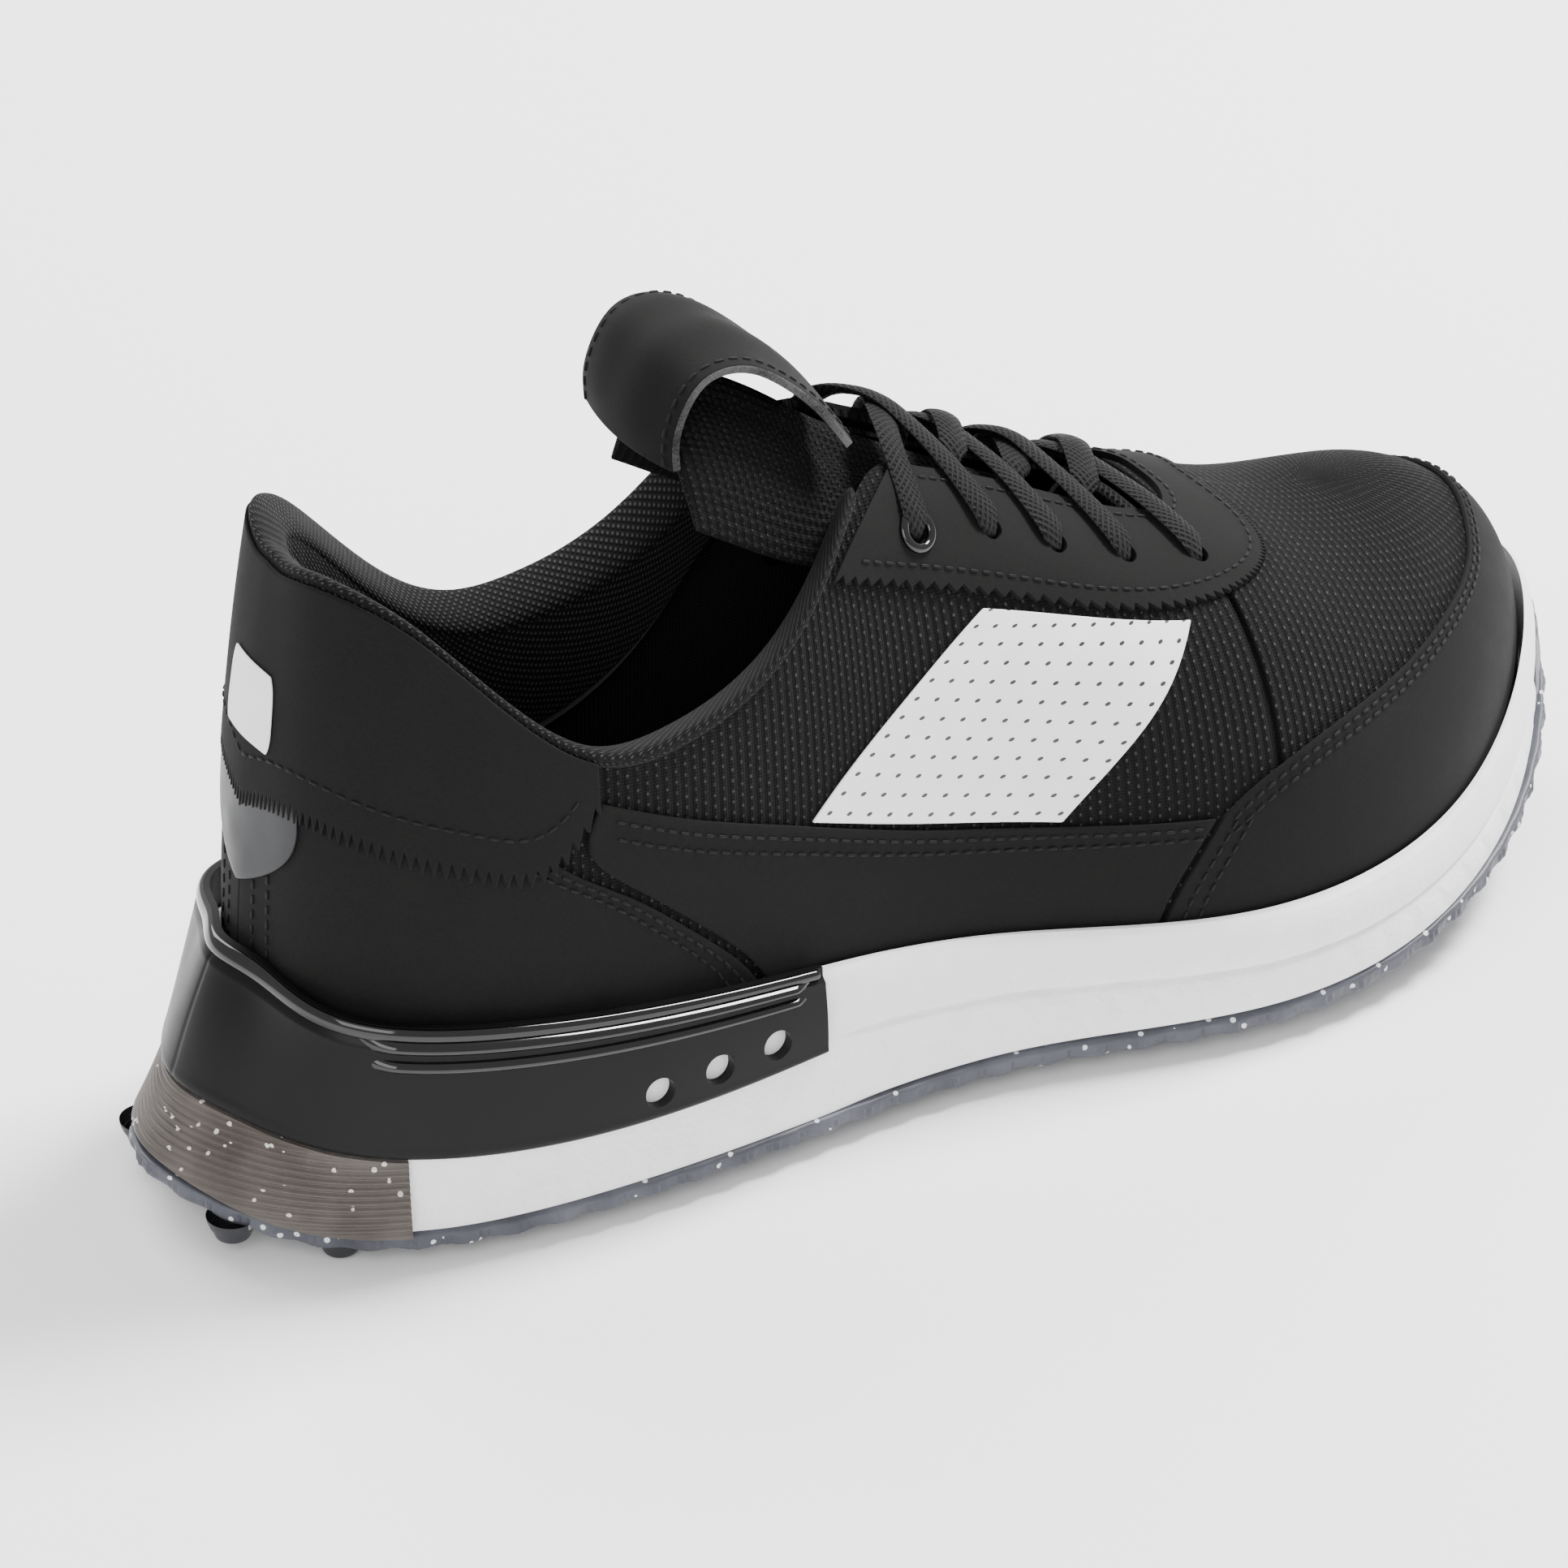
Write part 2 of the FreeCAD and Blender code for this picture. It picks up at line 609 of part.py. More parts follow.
def lining_drop(station):
    """How far the wall lining stops short of the top edge: below the foam, then level with the throat."""
    fade = min(1.0, max(0.0, (station - FOAM_END) / FOAM_FADE))
    return 0.01 + FOAM_WIDTH * (1 - fade * fade * (3 - 2 * fade))


def make_stiffeners():
    def counter(u, v):
        return mix(-0.20, 0.20, u), mix(0.03, 0.20, v)
    keep(add("heel_counter", skin(counter, size("stiffener_outer"), size("stiffener_inner"), 24, 6)))

    def puff(u, v):
        return mix(0.84, 1.16, u), mix(0.12, 0.42, v)
    keep(add("toe_puff", skin(puff, size("stiffener_outer"), size("stiffener_inner"), 24, 6)))


def make_collar():
    def band(low, high, reach):
        def place(u, v):
            station = mix(-reach, reach, u)
            top = COLLAR(abs(station))
            return station, mix(top - low, top + high, v)
        return place
    foam_top = size("stiffener_outer")
    foam = size("collar_foam_inner")
    keep(add("collar_padding", skin(band(FOAM_WIDTH, -0.004, FOAM_END), foam_top, foam, 60, 6)))
    keep(add("collar_lining", skin(band(FOAM_WIDTH, 0.0, FOAM_END), foam - 0.1,
                                   size("collar_lining_inner"), 60, 6)))
    keep(add("collar_binding", skin(band(-0.003, 0.014, 0.438), size("overlay_outer"),
                                    size("collar_lining_inner"), 60, 2)))


def make_overlays():
    outside, inside = size("overlay_outer"), size("overlay_inner")
    for name, sign in SIDES:
        heel = four_sided(lambda u: (0.365 * u, 0.0), lambda u: (0.225 * u, 0.215),
                          lambda v: (0.0, 0.215 * v), WING_SEAM)
        keep(add(name + "_heel_panel", skin(on_side(heel, sign), outside, inside, 20, 8)))
        band = four_sided(lambda u: (mix(0.371, 0.577, u), 0.0), BAND_TOP, BAND_REAR, BAND_FRONT)
        keep(add(name + "_quarter_band", skin(on_side(band, sign), outside, inside, 20, 8)))
        saddle = four_sided(lambda u: (mix(0.388, 0.53, u), mix(0.203, 0.194, u)),
                            lambda u: (mix(0.50, 0.62, u), mix(0.53, 0.57, u)),
                            run_through([(0.388, 0.203), (0.445, 0.36), (0.50, 0.53)]),
                            run_through([(0.53, 0.194), (0.583, 0.37), (0.62, 0.57)]))
        keep(add(name + "_saddle", skin(on_side(saddle, sign), -0.1, inside, 12, 12)))

    def rand(u, v):
        share = abs(2 * u - 1)
        rear, climb = RAND_REAR(v)
        station = mix(1.0, rear, share)
        top = RAND_TOP(mix(1.0, 0.616, share))
        return (station if u < 0.5 else 2 - station), v * top
    keep(add("toe_rand", skin(rand, outside, inside, 48, 8)))

    def cap(u, v):
        station = mix(-0.266, 0.266, u)
        return station, mix(CAP_EDGE(abs(station)), COLLAR(abs(station)) - 0.002, v)
    keep(add("heel_cap", skin(cap, size("cap_outer"), size("cap_inner"), 40, 8)))

    def half_moon(u, v):
        station = mix(-0.085, 0.085, u)
        edge = CAP_EDGE(abs(station)) - 0.003
        return station, mix(edge - 0.065 * math.sqrt(1 - (station / 0.087) ** 2) - 0.002, edge, v)
    keep(add("heel_half_moon_tab", skin(half_moon, size("overlay_outer") + 0.7, size("cap_inner"), 20, 3)))

    def patch(u, v):
        return mix(-0.05, 0.05, u), mix(0.235, 0.30, v)
    keep(add("heel_patch", skin(patch, size("cap_outer") + 0.6, size("cap_outer") + 0.1, 8, 4)))
    make_eyestay(outside, inside)


def make_eyestay(outside, inside):
    """U-shaped facing: an arm each side of the throat, joined in front of it."""
    inner_half = [(0.472, -0.20), (0.52, -0.165), (0.571, -0.15), (0.63, -0.155), (0.655, -0.10)]
    outer_half = [(0.413, -0.485), (0.467, -0.45), (0.575, -0.42), (0.629, -0.385), (0.668, -0.33),
                  (0.693, -0.24), (0.698, -0.12)]
    inner = run_through(inner_half + [(0.66, 0.0)] + [(k, -lean) for k, lean in reversed(inner_half)])
    outer = run_through(outer_half + [(0.695, 0.0)] + [(k, -lean) for k, lean in reversed(outer_half)])

    def place(u, v):
        a, b = inner(u), outer(u)
        return mix(a[0], b[0], v), mix(a[1], b[1], v)
    blank = add("eyestay_blank", skin(over_ridge(place), outside, inside, 48, 6))
    keep(boolean("Cut", "eyestay", blank, eyelet_tools("eyestay")))
    rings = []
    for name, sign in SIDES:
        station, climb = EYELETS[-1]
        ring = doc.addObject("Part::Torus", "eyelet_ring_" + name)
        ring.setExpression("Radius1", "sizes.ring_radius")
        ring.setExpression("Radius2", "sizes.ring_wire")
        normal = outward_normal(sign * station, climb, 0)
        centre = upper_point(sign * station, climb, size("overlay_outer")) + normal * (size("ring_wire") + 0.25)
        ring.Placement = FreeCAD.Placement(centre, FreeCAD.Rotation(V(0, 0, 1), normal))
        rings.append(ring)
    keep(many("Compound", "eyelet_rings", rings))


# ---------------------------------------------------------------- tongue
TONGUE_TOP, TONGUE_BASE = 0.352, 0.650
TONGUE_SIDE_DEPTH, TONGUE_MIDDLE_RISE = -9.6, 3.6
tongue_lean = against([(0.35, 0.43), (0.42, 0.42), (0.50, 0.30), (0.65, 0.24)])


def tongue_depth(lean, station):
    """Low beside the throat, where the lace runs, higher in the middle, and dropping at the top."""
    middle = max(0.0, 1 - (lean / 0.10) ** 2) ** 2
    fade = min(1.0, max(0.0, (0.63 - station) / 0.05))
    drop = max(0.0, (0.44 - station) / 0.08) ** 2
    side_share = min(1.0, abs(lean) / 0.43)
    return TONGUE_SIDE_DEPTH + TONGUE_MIDDLE_RISE * middle * fade - 9.0 * drop * (1 - 0.85 * side_share)


def make_tongue():
    def station_lean(u, v):
        station = mix(TONGUE_TOP, TONGUE_BASE, u)
        return station, tongue_lean(station) * mix(-1, 1, v)

    def outside(u, v):
        station, lean = station_lean(u, v)
        return tongue_depth(lean, station)

    def inside(u, v):
        edge = 1 - 0.55 * abs(2 * v - 1) ** 3
        return outside(u, v) - size("tongue_thickness") * edge
    keep(add("tongue", skin(over_ridge(station_lean), outside, inside, 24, 16)))


TAB_MIDDLE_Y = 3.0


def make_pull_tab():
    """Strap bent over the top of the tongue into an open loop."""
    middle = run_through([(99.8, 123), (99.6, 128), (101.2, 134), (107, 141), (115, 141.6), (124, 136.5),
                          (132, 128.5), (138, 120)])
    count = 24
    half = size("tab_thickness") / 2
    sides = ([], [])
    for i in range(count + 1):
        share = i / count
        a, b = middle(max(share - 0.01, 0)), middle(min(share + 0.01, 1))
        ahead = V(b[0] - a[0], 0, b[1] - a[1])
        ahead.normalize()
        across = V(-ahead.z, 0, ahead.x) * half
        x, z = middle(share)
        here = V(x * SCALE, 0, z * SCALE)
        sides[0].append(here + across)
        sides[1].append(here - across)
    lines = []
    for points in sides:
        curve = Part.BSplineCurve()
        curve.interpolate(points)
        lines.append(curve.toShape())
    ends = [Part.makeLine(sides[0][i], sides[1][i]) for i in (0, -1)]
    face = Part.Face(Part.Wire([lines[0], ends[1], lines[1], ends[0]]))
    tab = face.extrude(V(0, size("tab_width"), 0))
    tab.translate(V(0, TAB_MIDDLE_Y - size("tab_width") / 2, 0))
    return keep(add("tongue_pull_tab", tab))


# ---------------------------------------------------------------- lace
LACE_OVER, LACE_CROSSING, LACE_UNDER = 2.4, 5.2, -5.9
THROAT_EDGE, BELOW_EDGE = 0.86, 0.895


def crossing_run(side, number, level, last):
    """From the eyelet on one side over the throat to the next eyelet on the other side."""
    k0, climb0 = EYELETS[number]
    k1, climb1 = EYELETS[number + 1]
    leave = mix(k0, k1, 0.2)
    arrive = mix(k0, k1, 0.85)
    points = [upper_point(side * k0, climb0, LACE_UNDER), upper_point(side * k0, climb0, LACE_OVER),
              upper_point(side * leave, THROAT_EDGE, LACE_OVER),
              upper_point(mix(k0, k1, 0.5), 1.0, level)]
    if last:
        points.append(upper_point(-side * arrive, THROAT_EDGE, LACE_OVER))
        points.append(upper_point(-side * k1, climb1, LACE_OVER))
    else:
        points.append(upper_point(-side * arrive, BELOW_EDGE, LACE_OVER / 2))
        points.append(upper_point(-side * k1, BELOW_EDGE - 0.01, LACE_UNDER))
    return points


def strand(side, level):
    """One half of the lace, from its front eyelet to its tail inside the top eyelet."""
    points = []
    for number in range(len(EYELETS) - 1):
        points += crossing_run(side, number, level, number == len(EYELETS) - 2)
        side = -side
    station, climb = EYELETS[-1]
    points.append(upper_point(side * station, climb, LACE_UNDER))
    points.append(upper_point(side * (station - 0.004), climb - 0.07, LACE_UNDER - 1.6))
    return points, side


def rounded_path(points):
    """Straight runs joined by tangent arcs, each as large as its two runs allow."""
    edges = []
    here = points[0]
    radii = []
    for before, corner, after in zip(points, points[1:], points[2:]):
        back, ahead = before - corner, after - corner
        shorter = min(back.Length, ahead.Length)
        back.normalize()
        ahead.normalize()
        turn = math.pi - back.getAngle(ahead)
        cut = 0.45 * shorter
        radii.append(cut / math.tan(turn / 2))
        start, end = corner + back * cut, corner + ahead * cut
        bisector = back + ahead
        bisector.normalize()
        middle = corner + bisector * (math.hypot(radii[-1], cut) - radii[-1])
        edges += [Part.LineSegment(here, start).toShape(), Part.Arc(start, middle, end).toShape()]
        here = end
    edges.append(Part.LineSegment(here, points[-1]).toShape())
    return Part.Wire(edges), radii


def tube(points, radius):
    path, radii = rounded_path(points)
    start = path.Edges[0]
    profile = Part.Wire([Part.makeCircle(radius, points[0], start.tangentAt(start.FirstParameter))])
    solid = path.makePipeShell([profile], True, True)
    wanted = math.pi * radius ** 2 * path.Length
    print("lace length %.1f mm, volume %.4f of its section times length, smallest radius %.2f mm"
          % (path.Length, solid.Volume / wanted, min(radii)))
    return solid


def make_laces():
    first, end_side = strand(1, LACE_OVER)
    second, _ = strand(-1, LACE_CROSSING)
    station = EYELETS[0][0]
    bar = [upper_point(station, 0.84, LACE_UNDER), upper_point(station - 0.003, 1.0, LACE_UNDER),
           upper_point(-station, 0.84, LACE_UNDER)]
    points = list(reversed(first)) + bar + second
    keep(add("laces", tube(points, size("lace_radius"))))
    aglets = []
    for number, (end, before) in enumerate(((points[0], points[1]), (points[-1], points[-2]))):
        aglet = doc.addObject("Part::Cylinder", "aglet_%d" % number)
        aglet.setExpression("Radius", "sizes.aglet_radius")
        aglet.setExpression("Height", "sizes.aglet_length")
        aglet.Placement = FreeCAD.Placement(end, FreeCAD.Rotation(V(0, 0, 1), end - before))
        aglets.append(aglet)
    keep(many("Compound", "lace_aglets", aglets))


# ---------------------------------------------------------------- assembly
def place_in_frame():
    """Origin in the middle of the footprint, on the ground."""
    box = FreeCAD.BoundBox()
    for item in SUBPARTS:
        box.add(item.Shape.optimalBoundingBox(False, False))
    shift = FreeCAD.Placement(V(-box.Center.x, -box.Center.y, -box.ZMin), FreeCAD.Rotation())
    for item in SUBPARTS:
        item.Placement = shift.multiply(item.Placement)
    print("box %.1f x %.1f x %.1f mm, moved by %s" % (box.XLength, box.YLength, box.ZLength, shift.Base))


def check_and_write():
    os.makedirs("parts", exist_ok=True)
    for item in doc.Objects:
        if "Invalid" in item.State or "Error" in item.State:
            raise RuntimeError("%s is %s" % (item.Label, item.State))
    for item in SUBPARTS:
        if item.Shape.isNull() or not item.Shape.isValid() or item.Shape.Volume <= 0:
            raise RuntimeError("%s has no valid shape" % item.Label)
    for item in SUBPARTS:
        item.Shape.exportStep("parts/%s.step" % item.Label)


make_outsole()
make_lugs()
make_shank()
make_midsole()
make_heel_clip()
make_rubber_trims()
inner_slab("strobel_board", -0.2, size("board_thickness"), 5.0)
inner_slab("sockliner", size("board_thickness"), size("sockliner_thickness"), 6.5)
make_mesh_and_lining()
make_stiffeners()
make_collar()
make_overlays()
make_tongue()
make_pull_tab()
make_laces()
doc.recompute()
place_in_frame()
doc.recompute()
check_and_write()
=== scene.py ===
"""Golf shoe: the looks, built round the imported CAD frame.

Shapes are worked out in the millimetres of the CAD drawing (x from the back of the heel, z from the rubber's
lower edge) and moved into the shared frame, in metres, when a mesh is made.
A place on the upper is (station, climb, depth), as in the CAD model: station 0 at the heel, 1 at the toe on
the lateral side, minus k for the medial twin of k; climb 0 at the sole, 1 on the ridge; depth mm outside.
"""
import math

import bmesh
import bpy
import numpy as np
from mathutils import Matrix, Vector


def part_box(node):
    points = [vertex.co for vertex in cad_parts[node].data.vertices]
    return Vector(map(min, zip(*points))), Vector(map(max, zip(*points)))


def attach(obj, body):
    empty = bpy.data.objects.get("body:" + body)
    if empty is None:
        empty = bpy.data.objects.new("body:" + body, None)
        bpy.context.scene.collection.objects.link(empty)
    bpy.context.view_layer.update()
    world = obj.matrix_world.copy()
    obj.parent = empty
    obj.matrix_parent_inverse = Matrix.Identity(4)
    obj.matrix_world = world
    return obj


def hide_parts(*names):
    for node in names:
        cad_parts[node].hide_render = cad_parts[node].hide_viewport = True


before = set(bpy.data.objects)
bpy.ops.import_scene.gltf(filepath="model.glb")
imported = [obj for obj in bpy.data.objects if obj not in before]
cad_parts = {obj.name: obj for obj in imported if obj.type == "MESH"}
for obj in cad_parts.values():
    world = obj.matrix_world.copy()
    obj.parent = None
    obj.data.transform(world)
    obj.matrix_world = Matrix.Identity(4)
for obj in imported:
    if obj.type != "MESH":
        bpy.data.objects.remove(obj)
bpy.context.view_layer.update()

MM = 0.001
LUG_LOW_X, TAB_MIDDLE_Y, LUG_LOW_Z = 5.4, 3.0, -3.5
lug_low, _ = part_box("traction_lugs")
tab_low, tab_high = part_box("tongue_pull_tab")
SHIFT = np.array([lug_low.x / MM - LUG_LOW_X, (tab_low.y + tab_high.y) / 2 / MM - TAB_MIDDLE_Y,
                  lug_low.z / MM - LUG_LOW_Z])


# ---------------------------------------------------------------- curves shared with the CAD drawing
def natural_spline(points, closed=False):
    """Natural cubic spline through (place, value) points, for arrays."""
    places = np.array([p[0] for p in points], float)
    values = np.array([p[1] for p in points], float)
    if closed:
        places = np.concatenate([places[-4:] - 1, places, places[:4] + 1])
        values = np.concatenate([values[-4:], values, values[:4]])
    gaps = np.diff(places)
    count = len(places)
    system = np.eye(count)
    right = np.zeros(count)
    for i in range(1, count - 1):
        system[i, i - 1:i + 2] = gaps[i - 1], 2 * (gaps[i - 1] + gaps[i]), gaps[i]
        right[i] = 6 * ((values[i + 1] - values[i]) / gaps[i] - (values[i] - values[i - 1]) / gaps[i - 1])
    bend = np.linalg.solve(system, right)

    def at(place):
        place = np.asarray(place, float)
        place = np.mod(place, 1.0) if closed else np.clip(place, places[0], places[-1])
        i = np.clip(np.searchsorted(places, place, side="right") - 1, 0, count - 2)
        a = (places[i + 1] - place) / gaps[i]
        b = (place - places[i]) / gaps[i]
        cubic = (a ** 3 - a) * bend[i] + (b ** 3 - b) * bend[i + 1]
        return a * values[i] + b * values[i + 1] + cubic * gaps[i] ** 2 / 6
    return at


LATERAL = [(0, 0), (5, -16), (22, -34), (55, -45), (105, -46), (155, -45), (200, -55), (240, -51), (270, -35),
           (291, -13)]
MEDIAL = [(301, 11), (298, 26), (286, 39), (262, 48.5), (232, 52), (200, 50), (160, 42), (110, 36), (60, 38),
          (24, 31), (6, 16)]


def make_outline():
    points = LATERAL + MEDIAL
    steps = [math.dist(a, b) for a, b in zip(points, points[1:] + points[:1])]
    travel = np.concatenate([[0], np.cumsum(steps)])
    whole, travel = travel[-1], travel[:-1]
    half = travel[len(LATERAL)]
    places = np.where(travel <= half, 0.5 * travel / half, 0.5 + 0.5 * (travel - half) / (whole - half))
    return [natural_spline([(p, q[axis]) for p, q in zip(places, points)], closed=True) for axis in (0, 1)]


OUTLINE_X, OUTLINE_Y = make_outline()
SPINE_START, SPINE_END, SPINE_SOFTNESS = 45.0, 248.0, 8.0
SPINE_Y = natural_spline([(0, 0), (60, 0), (120, 3), (180, 6), (240, 9), (302, 9)])
WALL_INSET = natural_spline([(0, 21), (15, 14.5), (35, 10), (70, 9), (140, 8), (200, 8), (250, 8), (302, 8)])
FEATHER_Z = natural_spline([(0, 30), (60, 28), (120, 22), (180, 18), (230, 18), (270, 22), (302, 30)])
RIDGE_Z = natural_spline([(45, 185), (80, 168), (110, 146), (135, 124), (160, 108), (190, 92), (215, 82),
                          (235, 74), (256, 71)])
SHOULDER = natural_spline([(0, 0.55), (100, 0.55), (180, 0.62), (240, 0.72), (302, 0.75)])
BULGE = natural_spline([(0, 2), (30, -2), (100, -1), (200, -2.5), (250, -2), (302, 0)])
CROWN = natural_spline([(0, 1.1), (20, 0.85), (60, 0.38), (110, 0.20), (160, 0.22), (220, 0.30), (260, 0.40),
                        (302, 0.52)])
GROUND_Z = natural_spline([(0, 6.5), (12, 2.5), (30, 0), (70, 0), (130, 0), (190, 0), (225, 1.5), (255, 6.5),
                           (280, 14), (301, 25)])
SOLE_TOP_Z = natural_spline([(0, 36), (40, 36), (90, 34), (125, 31), (160, 26), (200, 22.5), (235, 24),
                             (265, 30), (290, 38), (302, 43)])
COLLAR = natural_spline([(0, 0.392), (0.04, 0.392), (0.11, 0.402), (0.146, 0.395), (0.176, 0.374),
                         (0.22, 0.314), (0.253, 0.275), (0.277, 0.265), (0.319, 0.29), (0.357, 0.345),
                         (0.387, 0.425),
                         (0.411, 0.53), (0.435, 0.665), (0.467, 0.80), (0.50, 0.835), (0.571, 0.855),
                         (0.66, 0.84)])
CAP_EDGE = natural_spline([(0, 0.185), (0.11, 0.20), (0.162, 0.185), (0.206, 0.17), (0.23, 0.167),
                           (0.253, 0.195), (0.269, 0.235)])
CLIP_TOP = natural_spline([(0, 49), (20, 46), (50, 42), (90, 37), (120, 33.5)])
CLIP_LOW = natural_spline([(0, 23), (30, 19), (60, 16.5), (120, 17.5)])


def softened(value):
    return SPINE_SOFTNESS * np.logaddexp(0, value / SPINE_SOFTNESS)


def fan(station):
    place = np.mod(np.asarray(station, float) / 2, 1.0)
    here = np.stack([OUTLINE_X(place), OUTLINE_Y(place)], -1)
    x = 0.5 * (here[..., 0] + OUTLINE_X(1 - place))
    centre_x = SPINE_START + softened(x - SPINE_START) - softened(x - SPINE_END)
    spine = np.stack([centre_x, SPINE_Y(centre_x)], -1)
    inward = spine - here
    reach = np.linalg.norm(inward, axis=-1)
    return x, spine, here, inward / reach[..., None], reach


def upper_points(station, climb, depth=0.0):
    station, climb, depth = np.broadcast_arrays(np.asarray(station, float), climb, depth)
    x, spine, here, inward, reach = fan(station)
    inset = WALL_INSET(x) - depth
    run = reach - inset
    foot = FEATHER_Z(x)
    top = RIDGE_Z(spine[..., 0]) + depth
    outs = (0 * run, BULGE(x), CROWN(x) * run, run)
    ups = (foot, foot + SHOULDER(x) * (top - foot), top, top)
    rest = 1 - climb
    weights = (rest ** 3, 3 * climb * rest ** 2, 3 * climb ** 2 * rest, climb ** 3)
    out = inset + sum(w * value for w, value in zip(weights, outs))
    up = sum(w * value for w, value in zip(weights, ups))
    return np.concatenate([here + inward * out[..., None], up[..., None]], -1)


def normals(station, climb, depth=0.0, step=0.004):
    station, climb = np.broadcast_arrays(np.asarray(station, float), climb)
    climb = np.clip(climb, step, 1 - step)
    across = upper_points(station, climb + step, depth) - upper_points(station, climb - step, depth)
    ahead = upper_points(station + step, climb, depth) - upper_points(station - step, climb, depth)
    normal = np.cross(across, ahead)
    normal /= np.linalg.norm(normal, axis=-1, keepdims=True)
    toward = upper_points(station, climb, depth + 1) - upper_points(station, climb, depth)
    return normal * np.sign((normal * toward).sum(-1))[..., None]


def heel_lean(x):
    return 9.0 * np.exp(-(x / 18.0) ** 2)


def wall_inset(x, height):
    share = (height - 3.5) / 30.0
    return 3.0 - heel_lean(x) / 9.0 + share * (2.5 + heel_lean(x))


def sole_points(station, height, depth=0.0):
    """Points on the sole's side wall at a height, depth mm outside it."""
    station, height, depth = np.broadcast_arrays(np.asarray(station, float), height, depth)
    x, _, here, inward, _ = fan(station)
    plan = here + inward * (wall_inset(x, height) - depth)[..., None]
    return np.concatenate([plan, height[..., None]], -1)


def mix(a, b, share):
    return a + (b - a) * share


def smooth(low, high, value):
    share = np.clip((value - low) / (high - low), 0, 1)
    return share * share * (3 - 2 * share)


def run_through(points):
    """Smooth path through (station, climb) points: share 0..1 -> station, climb."""
    steps = [math.dist(a, b) for a, b in zip(points, points[1:])]
    places = np.concatenate([[0], np.cumsum(steps)]) / sum(steps)
    first = natural_spline([(p, q[0]) for p, q in zip(places, points)])
    second = natural_spline([(p, q[1]) for p, q in zip(places, points)])
    return lambda share: (first(share), second(share))


# ---------------------------------------------------------------- meshes
def new_object(name, points, faces, uvs=None, smooth_shade=True):
    """A mesh object from points in drawing mm. uvs: one pair per vertex, in mm."""
    mesh = bpy.data.meshes.new(name)
    mesh.from_pydata(((np.asarray(points).reshape(-1, 3) + SHIFT) * MM).tolist(), [], faces)
    mesh.update()
    if uvs is not None:
        layer = mesh.uv_layers.new(name="UVMap")
        index = np.zeros(len(mesh.loops), int)
        mesh.loops.foreach_get("vertex_index", index)
        layer.data.foreach_set("uv", (np.asarray(uvs).reshape(-1, 2)[index] * MM).ravel())
    if smooth_shade:
        mesh.polygons.foreach_set("use_smooth", [True] * len(mesh.polygons))
    item = bpy.data.objects.new(name, mesh)
    bpy.context.scene.collection.objects.link(item)
    return item


def grid_faces(rows, columns, start=0, flip=False, wrap=False):
    faces = []
    for i in range(rows if wrap else rows - 1):
        after = (i + 1) % rows
        for j in range(columns - 1):
            quad = (start + i * columns + j, start + i * columns + j + 1, start + after * columns + j + 1,
                    start + after * columns + j)
            faces.append(quad[::-1] if flip else quad)
    return faces


def border_ring(rows, columns):
    """Vertex numbers round the edge of a rows x columns grid."""
    return ([(i, 0) for i in range(rows)] + [(rows - 1, j) for j in range(1, columns)]
            + [(i, columns - 1) for i in range(rows - 2, -1, -1)]
            + [(0, j) for j in range(columns - 2, 0, -1)])


def surface_uv(points):
    """Distances in mm along the middle of a grid, as texture coordinates."""
    rows, columns = points.shape[:2]
    along = np.linalg.norm(np.diff(points, axis=0), axis=-1)[:, columns // 2]
    across = np.linalg.norm(np.diff(points, axis=1), axis=-1)
    u = np.concatenate([[0], np.cumsum(along)])[:, None] * np.ones(columns)
    v = np.concatenate([np.zeros((rows, 1)), np.cumsum(across, axis=1)], axis=1)
    return np.stack([u, v], -1)


def slab(name, outer, inner, flip=False):
    """Closed mesh between two grids of the same size, with its edge faces."""
    rows, columns = outer.shape[:2]
    count = rows * columns
    uv = surface_uv(outer)
    faces = grid_faces(rows, columns, 0, flip) + grid_faces(rows, columns, count, not flip)
    ring = [i * columns + j for i, j in border_ring(rows, columns)]
    for a, b in zip(ring, ring[1:] + ring[:1]):
        quad = (a, b, b + count, a + count)
        faces.append(quad if flip else quad[::-1])
    points = np.concatenate([outer.reshape(-1, 3), inner.reshape(-1, 3)])
    item = new_object(name, points, faces, np.concatenate([uv.reshape(-1, 2)] * 2))
    tidy_normals(item)
    return item


def tidy_normals(item):
    work = bmesh.new()
    work.from_mesh(item.data)
    bmesh.ops.recalc_face_normals(work, faces=work.faces)
    work.to_mesh(item.data)
    work.free()


def merge_close(item, distance=0.02 * MM):
    work = bmesh.new()
    work.from_mesh(item.data)
    bmesh.ops.remove_doubles(work, verts=work.verts, dist=distance)
    bmesh.ops.dissolve_degenerate(work, edges=work.edges, dist=distance / 4)
    bmesh.ops.recalc_face_normals(work, faces=work.faces)
    work.to_mesh(item.data)
    work.free()


def bevel(item, width=0.3, segments=2, angle=35):
    change = item.modifiers.new("edge", "BEVEL")
    change.width = width * MM
    change.segments = segments
    change.limit_method = "ANGLE"
    change.angle_limit = math.radians(angle)
    change.harden_normals = False
    return item


def finish_piece(item, body, slot, material, nodes=()):
    item.data.materials.clear()
    item.data.materials.append(material)
    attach(item, body)
    if nodes:
        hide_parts(*nodes)
    return item


def panel(name, place, rows, columns, outside, inside, edge=0.32, **rest):
    """Cut sheet of cloth or nubuck on the upper: place(u, v) -> station, climb."""
    u, v = np.meshgrid(np.linspace(0, 1, rows), np.linspace(0, 1, columns), indexing="ij")
    station, climb = place(u, v)
    outer = upper_points(station, climb, outside(u, v) if callable(outside) else outside)
    inner = upper_points(station, climb, inside(u, v) if callable(inside) else inside)
    item = slab(name, outer, inner)
    if edge:
        bevel(item, edge)
    return finish_piece(item, "shoe", **rest)


